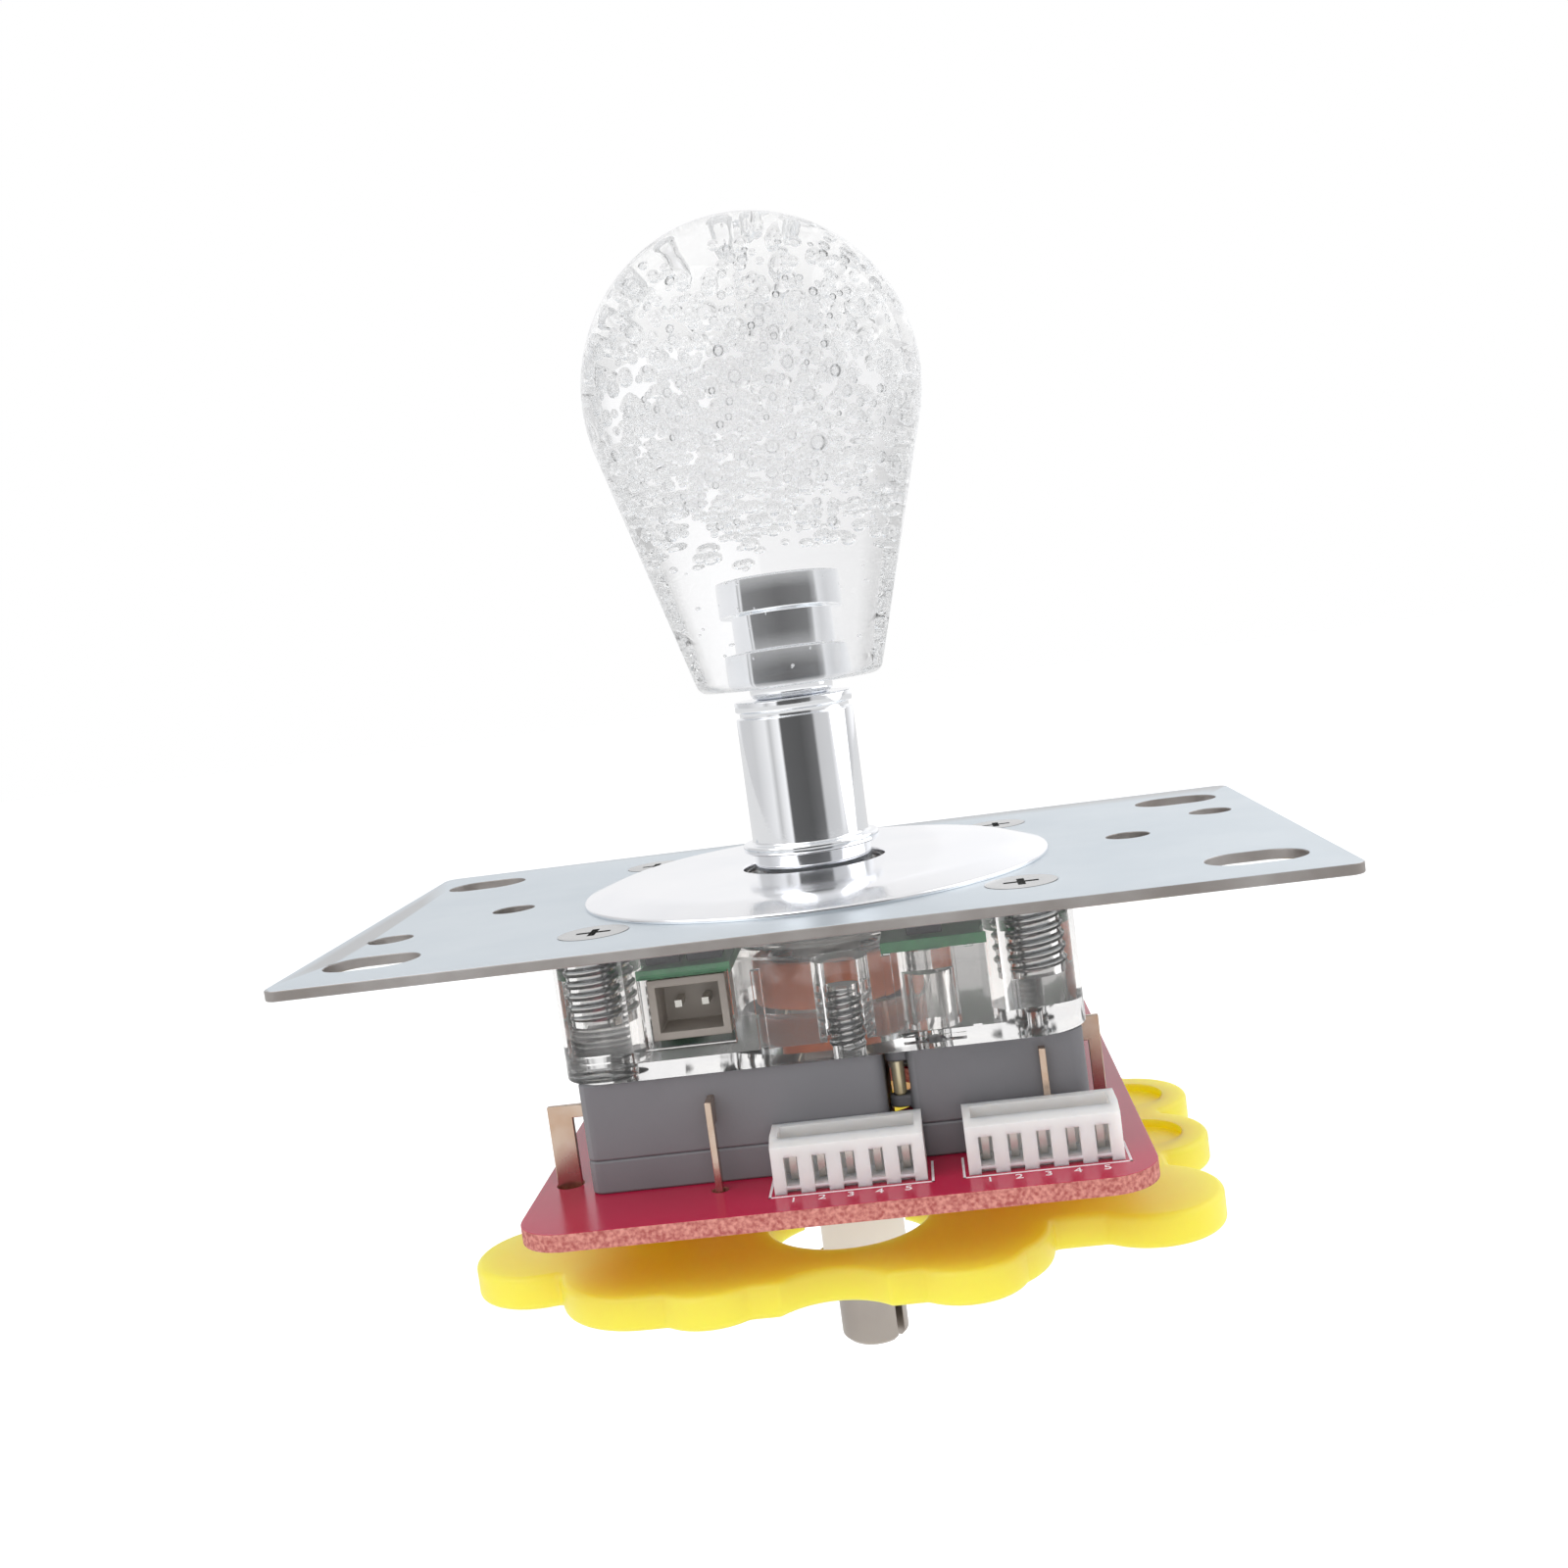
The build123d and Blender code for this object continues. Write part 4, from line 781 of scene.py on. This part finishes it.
def mathNode(tree, operation, *inputs):        # each input is a number or another node's output
    node = addNode(tree, "ShaderNodeMath", operation=operation)
    for place, value in enumerate(inputs):
        if isinstance(value, (int, float)):
            node.inputs[place].default_value = value
        else:
            tree.links.new(value, node.inputs[place])
    return node.outputs[0]


def rangeNode(tree, value, low, high):        # 0 below low, 1 above high
    node = addNode(tree, "ShaderNodeMapRange", {"From Min": low, "From Max": high})
    tree.links.new(value, node.inputs["Value"])
    return node.outputs["Result"]


# The floor glows a little, in full for the camera and less in mirrors and through glass
ground = {"drop": 70.0, "half": 3.0, "tone": 0.85, "rough": 0.9,
          "glow": 0.45, "inMirrors": 0.2, "throughGlass": 0.35}


def makePaleFloor():
    material, tree, shader = newFinish("paleFloor")
    shader.inputs["Base Color"].default_value = (ground["tone"],) * 3 + (1,)
    shader.inputs["Roughness"].default_value = ground["rough"]
    shader.inputs["Emission Color"].default_value = (1, 1, 1, 1)
    paths = addNode(tree, "ShaderNodeLightPath")
    mirrored = mathNode(tree, "MULTIPLY", paths.outputs["Is Glossy Ray"], ground["inMirrors"])
    through = mathNode(tree, "MULTIPLY", paths.outputs["Is Transmission Ray"], ground["throughGlass"])
    softer = mathNode(tree, "MAXIMUM", mirrored, through)
    seen = mathNode(tree, "MAXIMUM", softer, paths.outputs["Is Camera Ray"])
    tree.links.new(mathNode(tree, "MULTIPLY", seen, ground["glow"]), shader.inputs["Emission Strength"])
    return material


half, floorHeight = ground["half"], cadBox[0].z - ground["drop"] * mm
floorMesh = bpy.data.meshes.new("floor")
floorMesh.from_pydata([(x * half, y * half, floorHeight) for x, y in ((-1, -1), (1, -1), (1, 1), (-1, 1))],
                      [], [(0, 1, 2, 3)])
floorMesh.materials.append(makePaleFloor())
floor = bpy.data.objects.new("floor", floorMesh)
bpy.context.scene.collection.objects.link(floor)

# The room around the object: plain light on matt surfaces, while gloss and glass see greys that go by the share
# of a turn, from the back (0) past the left (0.25), the front (0.5) and the right (0.75). The front is dark, and
# in metal that is seen through the knob the dark sector is wider.
room = {"stops": [(0.0, 0.95), (0.1, 0.9), (0.14, 0.66), (0.24, 0.64), (0.335, 0.88), (0.36, 0.56),
                  (0.385, 0.82), (0.415, 1.0), (0.427, 0.12), (0.53, 0.1), (0.60, 0.16), (0.615, 0.6),
                  (0.69, 0.66), (0.71, 0.95), (0.76, 0.6), (0.84, 0.64), (0.9, 1.06), (0.97, 1.06),
                  (1.0, 1.0)],
        "knobStops": [(0.0, 0.95), (0.2, 0.9), (0.235, 0.95), (0.245, 0.4), (0.262, 0.92), (0.275, 0.2),
                      (0.5, 0.1), (0.7, 0.16), (0.74, 0.4), (0.76, 0.85), (0.82, 0.7), (1.0, 0.95)],
        "cool": 1.01, "lowFade": (-0.75, -0.35), "highFade": (0.35, 0.75), "low": 0.6, "high": 0.86,
        "plain": 0.8, "inside": 4.0, "throughLoss": 0.03}


def rampNode(tree, value, stops):        # greys at places from 0 to 1, a touch cooler than neutral
    node = addNode(tree, "ShaderNodeValToRGB")
    elements = node.color_ramp.elements
    for place, grey in stops[1:-1]:
        elements.new(place)
    for element, (place, grey) in zip(elements, stops):
        element.position = place
        element.color = (grey, grey, grey * room["cool"], 1)
    tree.links.new(value, node.inputs["Fac"])
    return node.outputs["Color"]


def makeRoom():
    world = bpy.data.worlds.new("room")
    world.use_nodes = True
    tree = world.node_tree
    tree.nodes.clear()
    where = addNode(tree, "ShaderNodeTexCoord")
    split = addNode(tree, "ShaderNodeSeparateXYZ")
    tree.links.new(where.outputs["Generated"], split.inputs[0])
    east, north, up = (split.outputs[axis] for axis in "XYZ")
    bearing = mathNode(tree, "ARCTAN2", east, mathNode(tree, "MULTIPLY", north, -1.0))
    share = mathNode(tree, "MULTIPLY_ADD", bearing, 1 / fullTurn, 0.5)
    paths = addNode(tree, "ShaderNodeLightPath")
    throughGlass = paths.outputs["Is Transmission Ray"]
    inKnob = mathNode(tree, "MINIMUM", paths.outputs["Glossy Depth"], paths.outputs["Transmission Depth"])
    wall = addNode(tree, "ShaderNodeMix", data_type="RGBA")
    tree.links.new(mathNode(tree, "MINIMUM", inKnob, 1.0), wall.inputs["Factor"])
    tree.links.new(rampNode(tree, share, room["stops"]), wall.inputs["A"])
    tree.links.new(rampNode(tree, share, room["knobStops"]), wall.inputs["B"])
    lowMix = addNode(tree, "ShaderNodeMix", {"A": (room["low"],) * 3 + (1,)}, data_type="RGBA")
    highMix = addNode(tree, "ShaderNodeMix", {"B": (room["high"],) * 3 + (1,)}, data_type="RGBA")
    tree.links.new(rangeNode(tree, up, *room["lowFade"]), lowMix.inputs["Factor"])
    tree.links.new(wall.outputs["Result"], lowMix.inputs["B"])
    tree.links.new(rangeNode(tree, up, *room["highFade"]), highMix.inputs["Factor"])
    tree.links.new(lowMix.outputs["Result"], highMix.inputs["A"])
    mirrored = mathNode(tree, "MAXIMUM", paths.outputs["Is Glossy Ray"], throughGlass)
    direct = mathNode(tree, "LESS_THAN", paths.outputs["Diffuse Depth"], 0.5)
    # lamps don't reach matt pieces behind clear plastic, so the room does
    level = mathNode(tree, "MULTIPLY_ADD", throughGlass, room["inside"] - room["plain"], room["plain"])
    dimmed = mathNode(tree, "MULTIPLY_ADD", throughGlass, -room["throughLoss"], 1.0)
    plain = addNode(tree, "ShaderNodeBackground", {"Color": (1, 1, 1, 1)})
    around = addNode(tree, "ShaderNodeBackground")
    white = addNode(tree, "ShaderNodeBackground", {"Color": (1, 1, 1, 1), "Strength": 1.0})
    shown = addNode(tree, "ShaderNodeMixShader")
    choose = addNode(tree, "ShaderNodeMixShader")
    out = addNode(tree, "ShaderNodeOutputWorld")
    tree.links.new(level, plain.inputs["Strength"])
    tree.links.new(dimmed, around.inputs["Strength"])
    tree.links.new(highMix.outputs["Result"], around.inputs["Color"])
    tree.links.new(mathNode(tree, "MULTIPLY", mirrored, direct), shown.inputs["Fac"])
    tree.links.new(plain.outputs[0], shown.inputs[1])
    tree.links.new(around.outputs[0], shown.inputs[2])
    tree.links.new(paths.outputs["Is Camera Ray"], choose.inputs["Fac"])
    tree.links.new(shown.outputs[0], choose.inputs[1])
    tree.links.new(white.outputs[0], choose.inputs[2])
    tree.links.new(choose.outputs[0], out.inputs["Surface"])
    return world


scene = bpy.context.scene
scene.world = makeRoom()

# Places and sizes in metres, power in watts; only the front lamp stays out of mirrors
lamps = {"key": {"place": (-0.30, -0.28, 0.42), "size": 0.7, "power": 1.3, "mirrored": True},
         "fill": {"place": (0.44, 0.05, 0.22), "size": 0.6, "power": 0.9, "mirrored": True},
         "front": {"place": (0.06, -0.50, -0.04), "size": 0.5, "power": 0.4, "mirrored": False}}
for name, lamp in lamps.items():
    light = bpy.data.lights.new(name, "AREA")
    light.shape = "DISK"
    light.size = lamp["size"]
    light.energy = lamp["power"]
    holder = bpy.data.objects.new(name, light)
    holder.location = lamp["place"]
    holder.visible_glossy = lamp["mirrored"]
    holder.visible_transmission = False
    holder.rotation_mode = "QUATERNION"
    holder.rotation_quaternion = (-Vector(lamp["place"])).to_track_quat("-Z", "Y")
    scene.collection.objects.link(holder)

viewpoint = {"place": (11.84, -165.42, 25.52), "look": (-0.0832, 0.9919, -0.0960),
             "up": (0.1243, 0.1059, 0.9866), "lens": 37.36, "sensor": 36.0, "nearest": 5.0}
camera = bpy.data.cameras.new("camera")
camera.lens = viewpoint["lens"]
camera.sensor_width = viewpoint["sensor"]
camera.clip_start = viewpoint["nearest"] * mm
cameraHolder = bpy.data.objects.new("camera", camera)
look = Vector(viewpoint["look"]).normalized()
right = look.cross(Vector(viewpoint["up"])).normalized()
above = right.cross(look)
turn = Matrix((right, above, -look)).transposed().to_4x4()
cameraHolder.matrix_world = Matrix.Translation(Vector(viewpoint["place"]) * mm) @ turn
scene.collection.objects.link(cameraHolder)
scene.camera = cameraHolder
scene.view_settings.view_transform = "Standard"

bounces = {"all": 40, "transmission": 40, "glossy": 12}        # light crosses many bubbles
scene.cycles.use_denoising = True
scene.cycles.max_bounces = bounces["all"]
scene.cycles.transmission_bounces = bounces["transmission"]
scene.cycles.glossy_bounces = bounces["glossy"]
print("stage: floor, room,", len(lamps), "lamps and camera")
